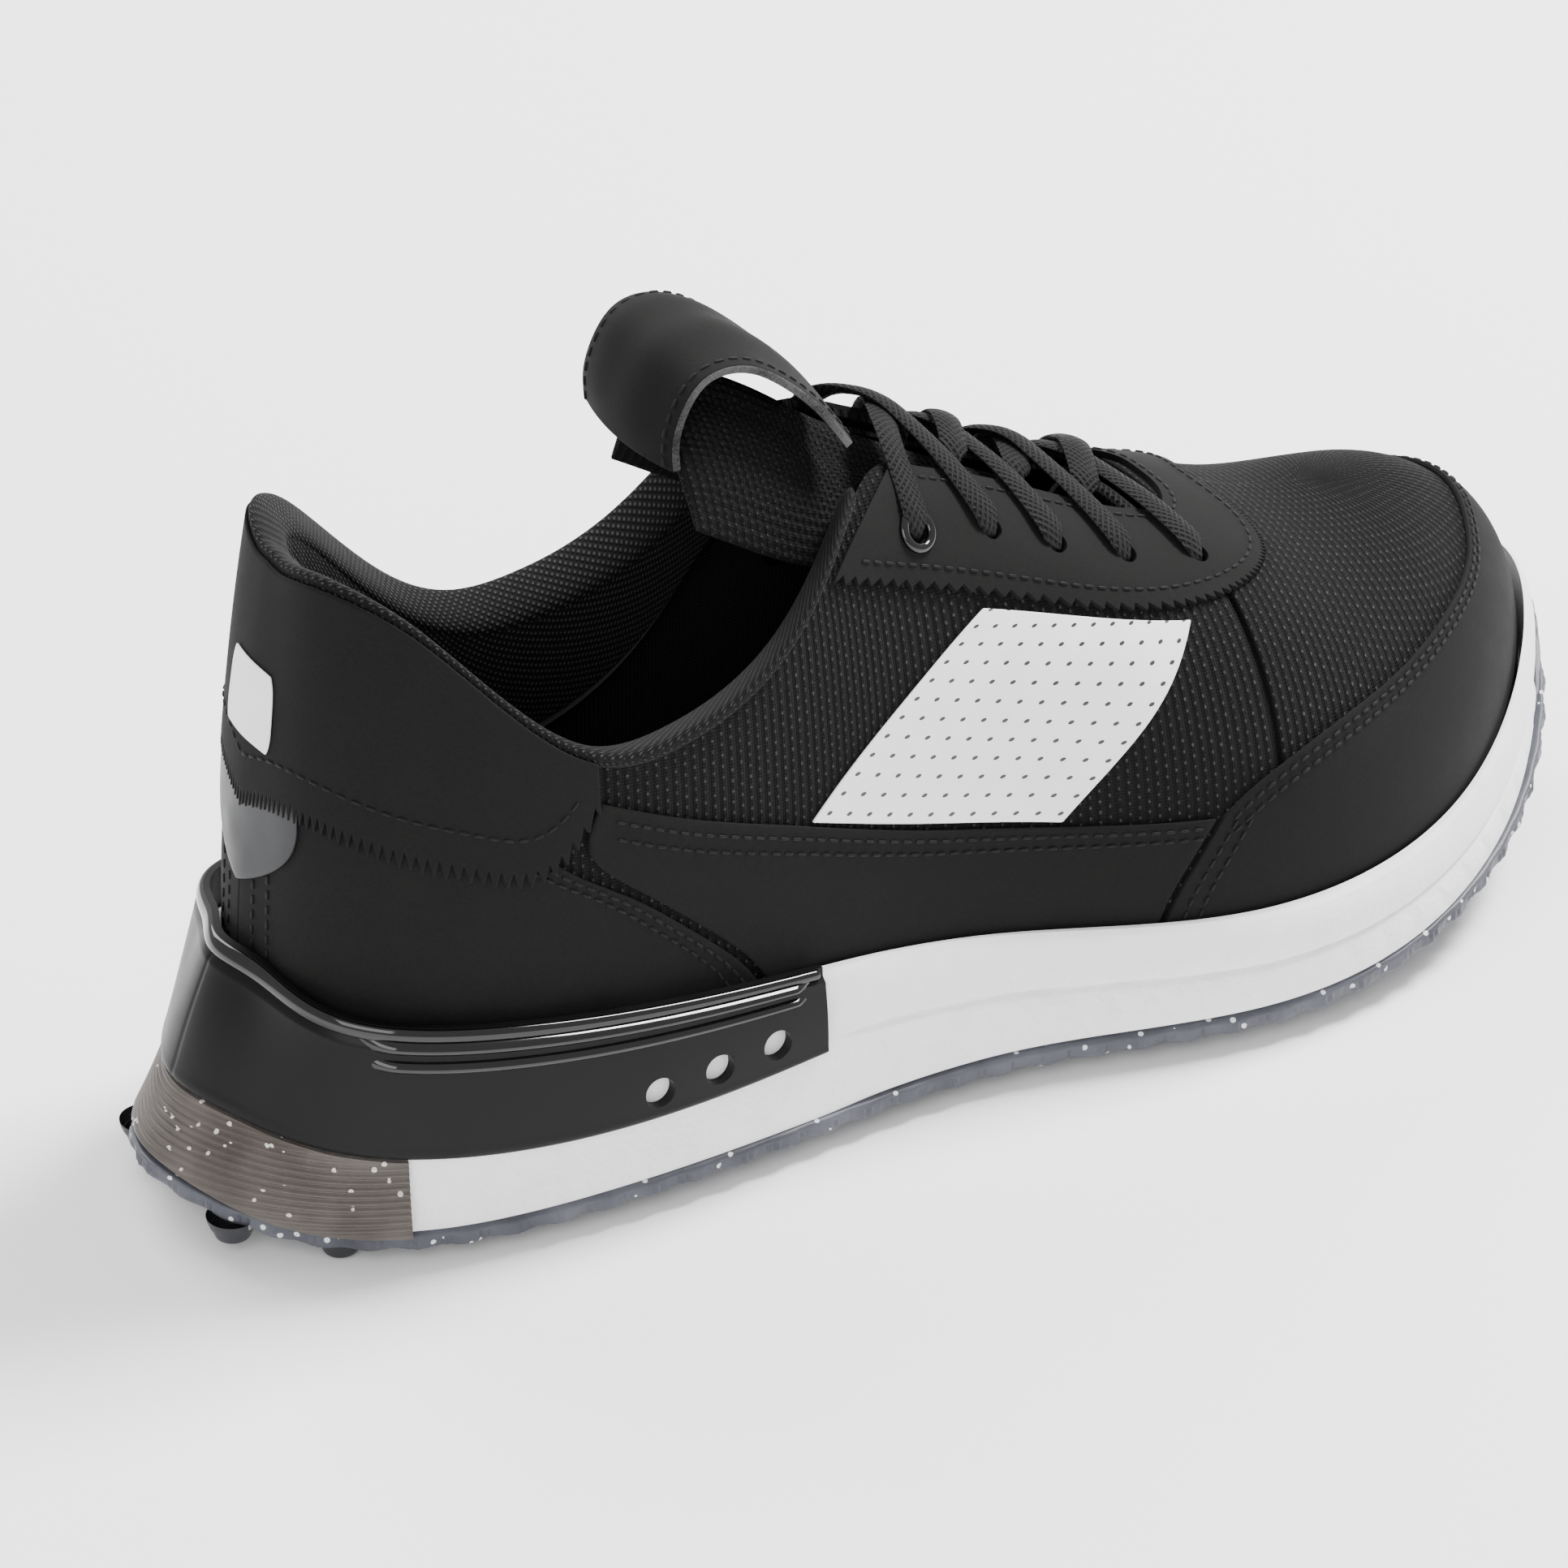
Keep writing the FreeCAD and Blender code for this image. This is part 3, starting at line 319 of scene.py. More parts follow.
# ---------------------------------------------------------------- materials
def material(name, colour, roughness, sheen=0.0, specular=0.5, coat=0.0, metallic=0.0, transmission=0.0):
    made = bpy.data.materials.new(name)
    made.use_nodes = True
    shader = made.node_tree.nodes["Principled BSDF"]
    shader.inputs["Base Color"].default_value = (*colour, 1)
    shader.inputs["Roughness"].default_value = roughness
    shader.inputs["Sheen Weight"].default_value = sheen
    shader.inputs["Sheen Roughness"].default_value = 0.5
    shader.inputs["Specular IOR Level"].default_value = specular
    shader.inputs["Coat Weight"].default_value = coat
    shader.inputs["Coat Roughness"].default_value = 0.08
    shader.inputs["Metallic"].default_value = metallic
    shader.inputs["Subsurface Weight"].default_value = transmission
    return made


class Nodes:
    """Short names for the node tree of one material."""

    def __init__(self, made):
        self.tree = made.node_tree
        self.shader = self.tree.nodes["Principled BSDF"]

    def add(self, kind, **inputs):
        node = self.tree.nodes.new(kind)
        for key, value in inputs.items():
            self.set(node, key, value)
        return node

    def set(self, node, key, value):
        socket = node.inputs[int(key[1:])] if key[0] == "i" and key[1:].isdigit() else node.inputs[key]
        if isinstance(value, bpy.types.NodeSocket):
            self.tree.links.new(value, socket)
        else:
            socket.default_value = value

    def math(self, operation, a, b=0.0, c=0.0):
        node = self.add("ShaderNodeMath", i0=a, i1=b, i2=c)
        node.operation = operation
        return node.outputs[0]

    def uv(self):
        split = self.add("ShaderNodeSeparateXYZ", i0=self.add("ShaderNodeUVMap").outputs["UV"])
        return split.outputs[0], split.outputs[1]

    def place(self):
        return self.add("ShaderNodeTexCoord").outputs["Object"]

    def noise(self, scale, detail=3.0, vector=None):
        node = self.add("ShaderNodeTexNoise", Scale=scale, Detail=detail, Vector=vector or self.place())
        return node.outputs["Fac"]

    def spots(self, scale, vector=None):
        node = self.add("ShaderNodeTexVoronoi", Scale=scale, Vector=vector or self.place())
        return node

    def ramp(self, value, low, high, colour_low, colour_high):
        node = self.add("ShaderNodeMapRange", Value=value)
        node.inputs["From Min"].default_value = low
        node.inputs["From Max"].default_value = high
        blend = self.add("ShaderNodeMix", Factor=node.outputs[0])
        blend.data_type = "RGBA"
        blend.inputs["A"].default_value = (*colour_low, 1)
        blend.inputs["B"].default_value = (*colour_high, 1)
        return blend.outputs["Result"]

    def colour(self, socket):
        self.tree.links.new(socket, self.shader.inputs["Base Color"])

    def roughness(self, value, low, high, rough_low, rough_high):
        node = self.add("ShaderNodeMapRange", Value=value)
        limits = {"From Min": low, "From Max": high, "To Min": rough_low, "To Max": rough_high}
        for key, number in limits.items():
            node.inputs[key].default_value = number
        self.tree.links.new(node.outputs[0], self.shader.inputs["Roughness"])

    def bump(self, height, strength=0.5, distance=0.2):
        node = self.add("ShaderNodeBump", Strength=strength, Distance=distance * MM, Height=height)
        self.tree.links.new(node.outputs["Normal"], self.shader.inputs["Normal"])

    def wave(self, value, pitch, phase=0.0):
        """0..1 sine of a length in metres, with a pitch in mm."""
        turned = self.math("MULTIPLY_ADD", value, 2 * math.pi / (pitch * MM), phase)
        return self.math("MULTIPLY_ADD", self.math("SINE", turned), 0.5, 0.5)


def nubuck(name="nubuck", dark=(0.0030, 0.0029, 0.0028), light=(0.0072, 0.0069, 0.0067)):
    made = material(name, dark, 0.86, sheen=0.015, specular=0.14)
    n = Nodes(made)
    cloud = n.noise(95.0, 6.0)
    grain = n.noise(2600.0, 2.0)
    patchy = n.math("MULTIPLY_ADD", grain, 0.35, n.math("MULTIPLY", cloud, 0.65))
    n.colour(n.ramp(patchy, 0.36, 0.66, dark, light))
    n.roughness(cloud, 0.3, 0.7, 0.78, 0.93)
    n.bump(n.math("MULTIPLY_ADD", cloud, 0.5, grain), 0.35, 0.12)
    return made


def ribbed_mesh(name="ribbed_mesh", rib=1.9, dash=2.1, glint=(0.055, 0.055, 0.055)):
    """Warp-knit mesh: ribs along the climb, each with a row of dashes whose paler colour is painted highlight
    on the rib crests.
    """
    made = material(name, (0.003, 0.003, 0.003), 0.82, sheen=0.015, specular=0.12)
    n = Nodes(made)
    u, v = n.uv()
    ribs = n.wave(u, rib)
    wobble = n.math("MULTIPLY", n.noise(900.0, 2.0), 0.9)
    column = n.math("FLOOR", n.math("DIVIDE", u, rib * MM))
    stagger = n.math("MULTIPLY", n.math("MODULO", column, 2.0), math.pi)
    dashes = n.math("SINE", n.math("ADD", n.math("MULTIPLY", v, 2 * math.pi / (dash * MM)), stagger))
    dashes = n.math("MULTIPLY_ADD", dashes, 0.5, 0.5)
    crest = n.math("POWER", ribs, 5.0)
    glint_mask = n.math("MULTIPLY", n.math("MULTIPLY", crest, n.math("POWER", dashes, 3.0)), wobble)
    yarn = n.math("MULTIPLY", n.wave(v, 0.62), n.wave(u, 0.55))
    # painted highlight: the glint colour goes on the dashes along the rib crests
    n.colour(n.ramp(glint_mask, 0.10, 0.62, (0.0022, 0.0022, 0.0023), glint))
    height = n.math("ADD", n.math("MULTIPLY", ribs, 1.0), n.math("MULTIPLY", yarn, 0.45))
    n.bump(n.math("ADD", height, n.math("MULTIPLY", glint_mask, 0.6)), 0.9, 0.42)
    return made


def twill(name="twill", pitch=1.15, glint=(0.045, 0.045, 0.046), dark=(0.002, 0.002, 0.0021)):
    """Coarse woven mesh: black, with painted highlight on short yarn floats in a staggered grid."""
    made = material(name, dark, 0.8, sheen=0.015, specular=0.14)
    n = Nodes(made)
    u, v = n.uv()
    slant_a = n.math("ADD", u, n.math("MULTIPLY", v, 0.6))
    slant_b = n.math("SUBTRACT", v, n.math("MULTIPLY", u, 0.6))
    weave = n.math("MULTIPLY", n.wave(slant_a, pitch), n.wave(slant_b, pitch * 1.1))
    fuzz = n.noise(1500.0, 2.0)
    glint_mask = n.math("MULTIPLY", n.math("POWER", weave, 1.6), n.math("MULTIPLY_ADD", fuzz, 1.2, 0.3))
    # painted highlight: the glint colour goes on the yarn floats of the weave
    n.colour(n.ramp(glint_mask, 0.12, 0.85, dark, glint))
    n.bump(weave, 0.9, 0.35)
    return made


def knit(name="knit"):
    made = material(name, (0.002, 0.002, 0.002), 0.8, sheen=0.015, specular=0.14)
    n = Nodes(made)
    u, v = n.uv()
    cells = n.math("MULTIPLY", n.wave(u, 0.9), n.wave(v, 0.7))
    n.colour(n.ramp(cells, 0.3, 1.0, (0.002, 0.002, 0.002), (0.018, 0.018, 0.018)))
    n.bump(cells, 0.8, 0.25)
    return made


def foam(name="foam"):
    """White moulded foam: smooth above the crease, finely pebbled below it."""
    made = material(name, (0.80, 0.80, 0.80), 0.55, specular=0.35, transmission=0.0)
    n = Nodes(made)
    pebbles = n.spots(900.0).outputs["Distance"]
    skin_noise = n.noise(180.0, 4.0)
    height = n.add("ShaderNodeSeparateXYZ", i0=n.place()).outputs[2]
    lower = n.add("ShaderNodeMapRange", Value=height)
    for key, number in (("From Min", 20 * MM), ("From Max", 24 * MM), ("To Min", 1.0), ("To Max", 0.12)):
        lower.inputs[key].default_value = number
    n.colour(n.ramp(skin_noise, 0.3, 0.7, (0.79, 0.79, 0.79), (0.85, 0.85, 0.85)))
    n.roughness(skin_noise, 0.3, 0.7, 0.48, 0.62)
    n.bump(n.math("MULTIPLY", pebbles, lower.outputs[0]), 0.5, 0.35)
    return made


def plastic(name, colour, rough_low, rough_high, coat=0.0, grain=0.02, specular=0.14):
    made = material(name, colour, rough_low, specular=specular, coat=coat)
    n = Nodes(made)
    cloud = n.noise(60.0, 4.0)
    n.roughness(cloud, 0.3, 0.7, rough_low, rough_high)
    n.bump(n.noise(3000.0, 2.0), 0.25, grain)
    return made


def speckled(name, dark, light, flakes, rough=0.42, amount=0.045, subsurface=0.15, size=260.0):
    """Rubber with ground-up recycled flakes in it."""
    made = material(name, dark, rough, specular=0.28, transmission=subsurface)
    made.node_tree.nodes["Principled BSDF"].inputs["Subsurface Radius"].default_value = (0.004, 0.004, 0.004)
    n = Nodes(made)
    cells = n.spots(size)
    lottery = n.add("ShaderNodeSeparateColor", i0=cells.outputs["Color"]).outputs[0]
    pick = n.math("LESS_THAN", lottery, amount * 4)
    core = n.math("LESS_THAN", cells.outputs["Distance"], 0.26)
    flake = n.math("MULTIPLY", pick, core)
    cloud = n.ramp(n.noise(70.0, 4.0), 0.35, 0.65, dark, light)
    blend = n.add("ShaderNodeMix", Factor=flake)
    blend.data_type = "RGBA"
    n.tree.links.new(cloud, blend.inputs["A"])
    blend.inputs["B"].default_value = (*flakes, 1)
    n.colour(blend.outputs["Result"])
    n.bump(n.noise(900.0, 3.0), 0.25, 0.1)
    return made


def braid(name="braid"):
    """Flat braid: two sets of slanted strands that cross."""
    made = material(name, (0.004, 0.004, 0.004), 0.66, sheen=0.01, specular=0.13)
    n = Nodes(made)
    u, v = n.uv()
    fold = n.math("ABSOLUTE", v)
    first = n.wave(n.math("ADD", u, n.math("MULTIPLY", fold, 1.1)), 1.5)
    second = n.wave(n.math("SUBTRACT", u, n.math("MULTIPLY", fold, 1.1)), 1.5)
    strands = n.math("MAXIMUM", n.math("POWER", first, 0.7), n.math("MULTIPLY", second, 0.8))
    n.colour(n.ramp(strands, 0.45, 1.0, (0.0010, 0.0010, 0.0010), (0.0085, 0.0085, 0.0088)))
    n.bump(strands, 1.0, 0.45)
    return made


def coated(name, colour, shade):
    made = material(name, colour, 0.42, specular=0.2)
    n = Nodes(made)
    cloud = n.noise(120.0, 4.0)
    n.colour(n.ramp(cloud, 0.3, 0.7, shade, colour))
    n.roughness(cloud, 0.3, 0.7, 0.34, 0.5)
    n.bump(n.noise(1700.0, 3.0), 0.3, 0.05)
    return made


NUBUCK = nubuck()
# glint: colour of the painted highlight on the rib crests of the mesh
MESH = ribbed_mesh()
TONGUE_MESH = ribbed_mesh("tongue_mesh", rib=1.7, dash=1.5, glint=(0.035, 0.035, 0.036))
# glint in twill: colour of the painted highlight on the yarn floats
TWILL = twill()
KNIT = knit()
FOAM = foam()
SATIN = plastic("clip_satin", (0.0035, 0.0035, 0.0036), 0.30, 0.42)
GLOSS = plastic("clip_gloss", (0.002, 0.002, 0.0024), 0.05, 0.10, coat=0.12, grain=0.003, specular=0.45)
WRAP = speckled("wrap_rubber", (0.060, 0.050, 0.044), (0.10, 0.086, 0.077), (0.60, 0.57, 0.54),
                amount=0.06, size=520.0)
RUBBER_LOOK = speckled("outsole_rubber", (0.045, 0.046, 0.058), (0.085, 0.087, 0.105), (0.62, 0.62, 0.64),
                       amount=0.07, size=480.0)
LUG = speckled("lug_rubber", (0.016, 0.016, 0.019), (0.030, 0.030, 0.035), (0.30, 0.30, 0.30), amount=0.01)
WHITE = coated("white_coated", (0.80, 0.80, 0.80), (0.76, 0.76, 0.76))
GREY_TAB = coated("grey_tab", (0.022, 0.0225, 0.025), (0.016, 0.0165, 0.018))
THREAD = material("thread", (0.0045, 0.0045, 0.0045), 0.6, sheen=0.01, specular=0.16)
FRAYED = nubuck("frayed_edge", (0.012, 0.012, 0.012), (0.085, 0.085, 0.085))
BRAID = braid()
# insole fabric: glint is the colour of its painted highlight on the yarn floats
INSOLE = twill("insole_fabric", pitch=0.9, glint=(0.012, 0.012, 0.012))


# ---------------------------------------------------------------- sole unit
AROUND = 900
STATIONS = np.linspace(0, 2, AROUND, endpoint=False)
X_AROUND, _, HERE_AROUND, INWARD_AROUND, REACH_AROUND = fan(STATIONS)
ARC = np.concatenate([[0], np.cumsum(np.linalg.norm(np.diff(HERE_AROUND, axis=0), axis=1))])
RUBBER = 3.4


def plan_ring(inset, height):
    """A ring right round the shoe at an inset from the outline; height may be a function of x."""
    plan = HERE_AROUND + INWARD_AROUND * np.broadcast_to(inset, AROUND)[:, None]
    level = height(plan[:, 0]) if callable(height) else np.broadcast_to(height, AROUND)
    return np.concatenate([plan, level[:, None]], -1)


def cap_rings(inset, height, steps=8):
    """Rings from an edge in to the spine, to close the body."""
    return [plan_ring(mix(inset, REACH_AROUND, i / steps), height) for i in range(1, steps + 1)]


def ring_body(name, rings, **rest):
    points = np.stack(rings, 1)
    across = np.linalg.norm(np.diff(points, axis=1), axis=-1)
    v = np.concatenate([np.zeros((AROUND, 1)), np.cumsum(across, axis=1)], axis=1)
    uv = np.stack([np.broadcast_to(ARC[:, None], v.shape), v], -1)
    item = new_object(name, points, grid_faces(AROUND, len(rings), wrap=True), uv)
    merge_close(item)
    item.data.set_sharp_from_angle(angle=math.radians(40))
    return finish_piece(item, "shoe", **rest)


def under_sole(x):
    return GROUND_Z(x) + RUBBER + 0.1


def footbed(x):
    return FEATHER_Z(x) - 0.4


def midsole_depth(share):
    """Outline of the side wall: pebbled lower facet, crease, smooth upper facet and rounded rim."""
    free = smooth(112, 130, X_AROUND)
    crease = 0.52 - 0.06 * smooth(130, 220, X_AROUND)
    lower = 0.85 * np.sin(np.pi * np.clip(share / crease, 0, 1)) ** 0.7
    above = np.clip((share - crease) / (1 - crease), 0, 1)
    upper = 0.9 * np.sin(np.pi * np.clip(above * 1.15, 0, 1)) ** 0.6 * (above > 0)
    groove = -0.7 * np.exp(-((share - crease) / 0.022) ** 2)
    slant = X_AROUND + 9.0 * share
    ribs = -0.32 * np.clip(np.sin(2 * np.pi * slant / 7.5), 0, 1) ** 3
    ribs = ribs * smooth(0.06, 0.16, share) * (1 - smooth(crease - 0.12, crease - 0.03, share))
    rounding = -1.1 * smooth(0.93, 1.0, share) ** 2 - 0.9 * (1 - smooth(0.0, 0.05, share)) ** 2
    return (lower + upper + groove + ribs) * free + rounding * (0.25 + 0.75 * free)


def make_midsole():
    low, high = under_sole(X_AROUND), SOLE_TOP_Z(X_AROUND)
    start = plan_ring(wall_inset(X_AROUND, low) + 1.2, under_sole)
    rings = cap_rings(wall_inset(X_AROUND, low) + 1.2, under_sole)[::-1] + [start]
    for share in np.linspace(0, 1, 60):
        rings.append(sole_points(STATIONS, mix(low, high, share), midsole_depth(share)))
    rim = WALL_INSET(X_AROUND) - 1.0
    rings += [plan_ring(rim, high), plan_ring(rim, footbed)]
    rings += cap_rings(rim, footbed)
    return ring_body("midsole", rings, slot="foam_white", material=FOAM, nodes=["midsole"])


def make_outsole():
    """Rubber sheet with a ribbed, gently scalloped edge."""
    inset = 2.6 - heel_lean(X_AROUND) / 9.0
    scallop = 0.5 * np.sin(2 * np.pi * ARC / 9.0)
    rings = cap_rings(inset + 1.2, GROUND_Z)[::-1]
    for share in np.linspace(0, 1, 20):
        rounding = 0.9 * (2 * abs(share - 0.5)) ** 6
        ribs = 0.22 * np.sin(2 * np.pi * ARC / 1.8) * np.sin(np.pi * share)
        edge = inset - ribs - scallop * (1 - share) - 0.25 + rounding

        def level(x, share=share):
            return GROUND_Z(x) + RUBBER * share
        rings.append(plan_ring(edge, level))
    rings += cap_rings(inset + 1.0, lambda x: GROUND_Z(x) + RUBBER)
    return ring_body("outsole", rings, slot="outsole_rubber", material=RUBBER_LOOK, nodes=["outsole"])


LUG_ROWS = [(10, 2), (26, 2), (44, 3), (62, 2), (82, 2), (150, 2), (172, 3), (194, 3), (216, 3), (238, 3),
            (258, 2), (276, 1)]
HEEL_LUG_SPREAD, FOREFOOT_LUG_SPREAD, HEEL_LUGS_END = 0.74, 0.62, 90.0
LUG_HEIGHT, LUG_SIDES = 3.5, 40
LUG_PROFILE = [(0, 0.45), (1.2, 0.45), (1.5, 0.08), (2.7, 0), (3.05, 0.12), (3.2, 0.4), (3.7, 1.9),
               (3.75, 2.1), (4.0, 2.15), (4.5, 3.5), (4.6, 4.3)]


def row_half_width(x):
    near = np.linspace(0, 1, 401)
    place = near[np.argmin(abs(OUTLINE_X(near / 2) - x))] / 2
    return abs(float(OUTLINE_Y(place)) - float(SPINE_Y(x)))


def make_lugs():
    turn = np.linspace(0, 2 * np.pi, LUG_SIDES, endpoint=False)
    points, faces = [], []
    for x, count in LUG_ROWS:
        share = HEEL_LUG_SPREAD if x < HEEL_LUGS_END else FOREFOOT_LUG_SPREAD
        spread = share * row_half_width(x) if count > 1 else 0.0
        tip = max(float(GROUND_Z(x)), 0.0) - LUG_HEIGHT
        for i in range(count):
            y = float(SPINE_Y(x)) + mix(-spread, spread, i / max(count - 1, 1))
            body = np.array([[(x + r * math.cos(a), y + r * math.sin(a), tip + z) for r, z in LUG_PROFILE]
                             for a in turn])
            faces += grid_faces(LUG_SIDES, len(LUG_PROFILE), len(points) * LUG_SIDES * len(LUG_PROFILE),
                                wrap=True)
            points.append(body)
    item = new_object("traction_lugs", np.array(points), faces)
    merge_close(item, 0.005 * MM)
    item.data.set_sharp_from_angle(angle=math.radians(40))
    return finish_piece(item, "shoe", slot="lug_rubber", material=LUG, nodes=["traction_lugs"])


def sole_patch(name, half, centre, low, high, outer, inner, rows, columns, **rest):
    """Closed plate on the side wall; outer(u, share) gives its outside depth."""
    u, v = np.meshgrid(np.linspace(-1, 1, rows), np.linspace(0, 1, columns), indexing="ij")
    station = centre + half * u
    x = fan(station)[0]
    height = mix(low(x), high(x), v)
    outside = sole_points(station, height, outer(station, v, height))
    item = slab(name, outside, sole_points(station, height, inner))
    bevel(item, 0.25)
    return finish_piece(item, "shoe", **rest)


CLIP_HALF = 0.385
WINDOWS = [(80, 21.5), (92, 22.2), (104, 22.9)]
WINDOW_RADIUS = 2.9


def drill(item, tools):
    """Cuts closed tool meshes out of a piece."""
    change = item.modifiers.new("holes", "BOOLEAN")
    change.operation = "DIFFERENCE"
    change.solver = "EXACT"
    change.object = tools
    with bpy.context.temp_override(object=item, active_object=item, selected_objects=[item]):
        bpy.ops.object.modifier_move_to_index(modifier="holes", index=0)
        bpy.ops.object.modifier_apply(modifier="holes")
    bpy.data.objects.remove(tools)
    item.data.set_sharp_from_angle(angle=math.radians(38))


def pins(name, starts, directions, radius, length, sides=32):
    """Closed cylinders, used as drills and aglets."""
    points, faces = [], []
    for start, direction in zip(starts, directions):
        ahead = direction / np.linalg.norm(direction)
        side = np.cross(ahead, [0.1, 0.2, 1.0])
        side /= np.linalg.norm(side)
        other = np.cross(ahead, side)
        base = len(points)
        for far in (0, length):
            for i in range(sides):
                a = 2 * math.pi * i / sides
                points.append(start + ahead * far + radius * (side * math.cos(a) + other * math.sin(a)))
        for i in range(sides):
            after = (i + 1) % sides
            faces.append((base + i, base + after, base + sides + after, base + sides + i))
        faces.append(tuple(range(base + sides - 1, base - 1, -1)))
        faces.append(tuple(range(base + sides, base + 2 * sides)))
    item = new_object(name, np.array(points), faces)
    tidy_normals(item)
    return item


def clip_outer(station, share, height):
    """Satin band with a proud lower lip and a stepped shoulder under the rim."""
    body = 2.2 - 0.7 * (1 - smooth(0.0, 0.05, share)) ** 2
    shoulder = -0.9 * smooth(0.84, 0.90, share)
    pinch = 0.25 * np.sin(np.pi * np.clip((share - 0.1) / 0.7, 0, 1))
    parting = -0.18 * np.exp(-(station / 0.0014) ** 2)
    return body + shoulder + pinch + parting


def rim_outer(station, share, height):
    return 1.75 + 0.55 * np.sin(np.pi * share) ** 0.6


def ridge_outer(station, share, height):
    ends = smooth(0.125, 0.150, abs(station)) * (1 - smooth(0.366, 0.380, abs(station)))
    return 1.3 + 2.0 * np.sin(np.pi * share) ** 0.6 * ends


def between_curves(share):
    return lambda x: mix(CLIP_LOW(x), CLIP_TOP(x), share)


def make_clip():
    clip = sole_patch("heel_clip", CLIP_HALF, 0.0, CLIP_LOW, CLIP_TOP, clip_outer, 0.1, 421, 40,
                      slot="clip_tpu", material=SATIN, nodes=["heel_clip"])
    starts = [np.array([x, side * 20.0, height]) for side in (-1, 1) for x, height in WINDOWS]
    ways = [np.array([0.0, side, 0.0]) for side in (-1, 1) for _ in WINDOWS]
    drill(clip, pins("window_drills", starts, ways, WINDOW_RADIUS, 50.0))
    sole_patch("heel_clip_rim", CLIP_HALF - 0.003, 0.0, between_curves(0.885), between_curves(0.995),
               rim_outer, 0.2, 361, 10, slot="clip_tpu", material=GLOSS, nodes=["heel_clip"])
    for side, name in ((1, "lateral"), (-1, "medial")):
        for number, share in enumerate((0.66, 0.80)):
            sole_patch("heel_clip_ridge_%s_%d" % (name, number), 0.1295, side * 0.2535,
                       between_curves(share), between_curves(share + 0.12), ridge_outer, 0.2, 221, 11,
                       slot="clip_tpu", material=GLOSS, nodes=["heel_clip"])


def wrap_outer(station, share, height):
    ridges = 0.30 * np.sin(2 * np.pi * height / 1.25)
    return 1.25 + ridges * np.sin(np.pi * np.clip(share, 0, 1)) ** 0.3 + 1.3 * (1 - share) ** 2


def bumper_outer(station, share, height):
    ends = 1 - smooth(0.06, 0.085, abs(station - 1))
    return 0.9 + 0.7 * ends * np.sin(np.pi * share) ** 0.4 + 0.12 * np.sin(2 * np.pi * station / 0.012)


def make_rubber_trims():
    sole_patch("heel_rubber_wrap", 0.155, 0.0, lambda x: GROUND_Z(x) + RUBBER + 0.3,
               lambda x: CLIP_LOW(x) - 0.8, wrap_outer, 0.1, 181, 90,
               slot="wrap_rubber", material=WRAP, nodes=["heel_rubber_wrap"])
    sole_patch("toe_bumper", 0.085, 1.0, lambda x: GROUND_Z(x) + RUBBER + 0.3,
               lambda x: SOLE_TOP_Z(x) - 5.0, bumper_outer, 0.1, 121, 30,
               slot="outsole_rubber", material=RUBBER_LOOK, nodes=["toe_bumper"])


def make_sockliner():
    inset = WALL_INSET(X_AROUND) + 6.5

    def top(x):
        return FEATHER_Z(x) + 6.0
    rings = cap_rings(inset, lambda x: FEATHER_Z(x) + 2.0)[::-1]
    for share in np.linspace(0, 1, 8):
        def level(x, share=share):
            return FEATHER_Z(x) + 2.0 + 4.0 * share
        rings.append(plan_ring(inset + 1.2 * (2 * share - 1) ** 4, level))
    rings += cap_rings(inset + 1.2, top)
    item = ring_body("sockliner", rings, slot="sockliner_foam", material=INSOLE, nodes=["sockliner"])
    return item


# ---------------------------------------------------------------- upper cloth
SIDES = (("lateral", 1), ("medial", -1))
QUARTER_END, VAMP_START = 0.650, 0.654
OVER, UNDER = 0.2, -0.8
WING_SEAM = run_through([(0.365, 0.0), (0.347, 0.06), (0.315, 0.105), (0.283, 0.14), (0.244, 0.175),
                         (0.225, 0.215)])
BAND_REAR = run_through([(0.371, 0.0), (0.352, 0.063), (0.32, 0.109), (0.288, 0.145), (0.262, 0.18),
                         (0.268, 0.228)])
BAND_TOP = run_through([(0.268, 0.228), (0.317, 0.21), (0.377, 0.20), (0.457, 0.19), (0.525, 0.187),
                        (0.612, 0.193)])
BAND_FRONT = run_through([(0.577, 0.0), (0.585, 0.065), (0.597, 0.125), (0.612, 0.193)])
RAND_REAR = run_through([(0.581, 0.0), (0.589, 0.065), (0.601, 0.125), (0.616, 0.195)])
RAND_TOP = natural_spline([(0.616, 0.195), (0.63, 0.23), (0.659, 0.285), (0.721, 0.375), (0.80, 0.44),
                           (0.89, 0.45), (0.95, 0.48), (1.0, 0.50)])
SADDLE_REAR = run_through([(0.388, 0.203), (0.445, 0.36), (0.50, 0.53)])
SADDLE_FRONT = run_through([(0.53, 0.194), (0.583, 0.37), (0.62, 0.57)])
EYELETS = [(0.645, 0.73), (0.599, 0.715), (0.557, 0.705), (0.519, 0.70), (0.471, 0.65)]
EYELET_RADIUS = 2.2
FOAM_END, FOAM_WIDTH, FOAM_FADE = 0.425, 0.13, 0.05


def four_sided(low, high, first, last):
    """Smooth patch between four edge curves."""
    def place(u, v):
        found = []
        for axis in (0, 1):
            edges = ((1 - v) * low(u)[axis] + v * high(u)[axis]
                     + (1 - u) * first(v)[axis] + u * last(v)[axis])
            corners = ((1 - u) * (1 - v) * low(0.0)[axis] + u * (1 - v) * low(1.0)[axis]
                       + (1 - u) * v * high(0.0)[axis] + u * v * high(1.0)[axis])
            found.append(edges - corners)
        return found[0], found[1]
    return place


def on_side(place, sign):
    def sided(u, v):
        station, climb = place(u, v)
        return sign * station, climb
    return sided


def over_ridge(place):
    def crossed(u, v):
        station, lean = place(u, v)
        return np.where(lean > 0, -station, station), 1 - abs(lean)
    return crossed


def lining_drop(station):
    fade = np.clip((station - FOAM_END) / FOAM_FADE, 0, 1)
    return 0.01 + FOAM_WIDTH * (1 - fade * fade * (3 - 2 * fade))


def teeth(share, count):
    """Zigzag -1..1 for a pinked edge."""
    return 2 * abs(2 * np.mod(share * count, 1.0) - 1) - 1


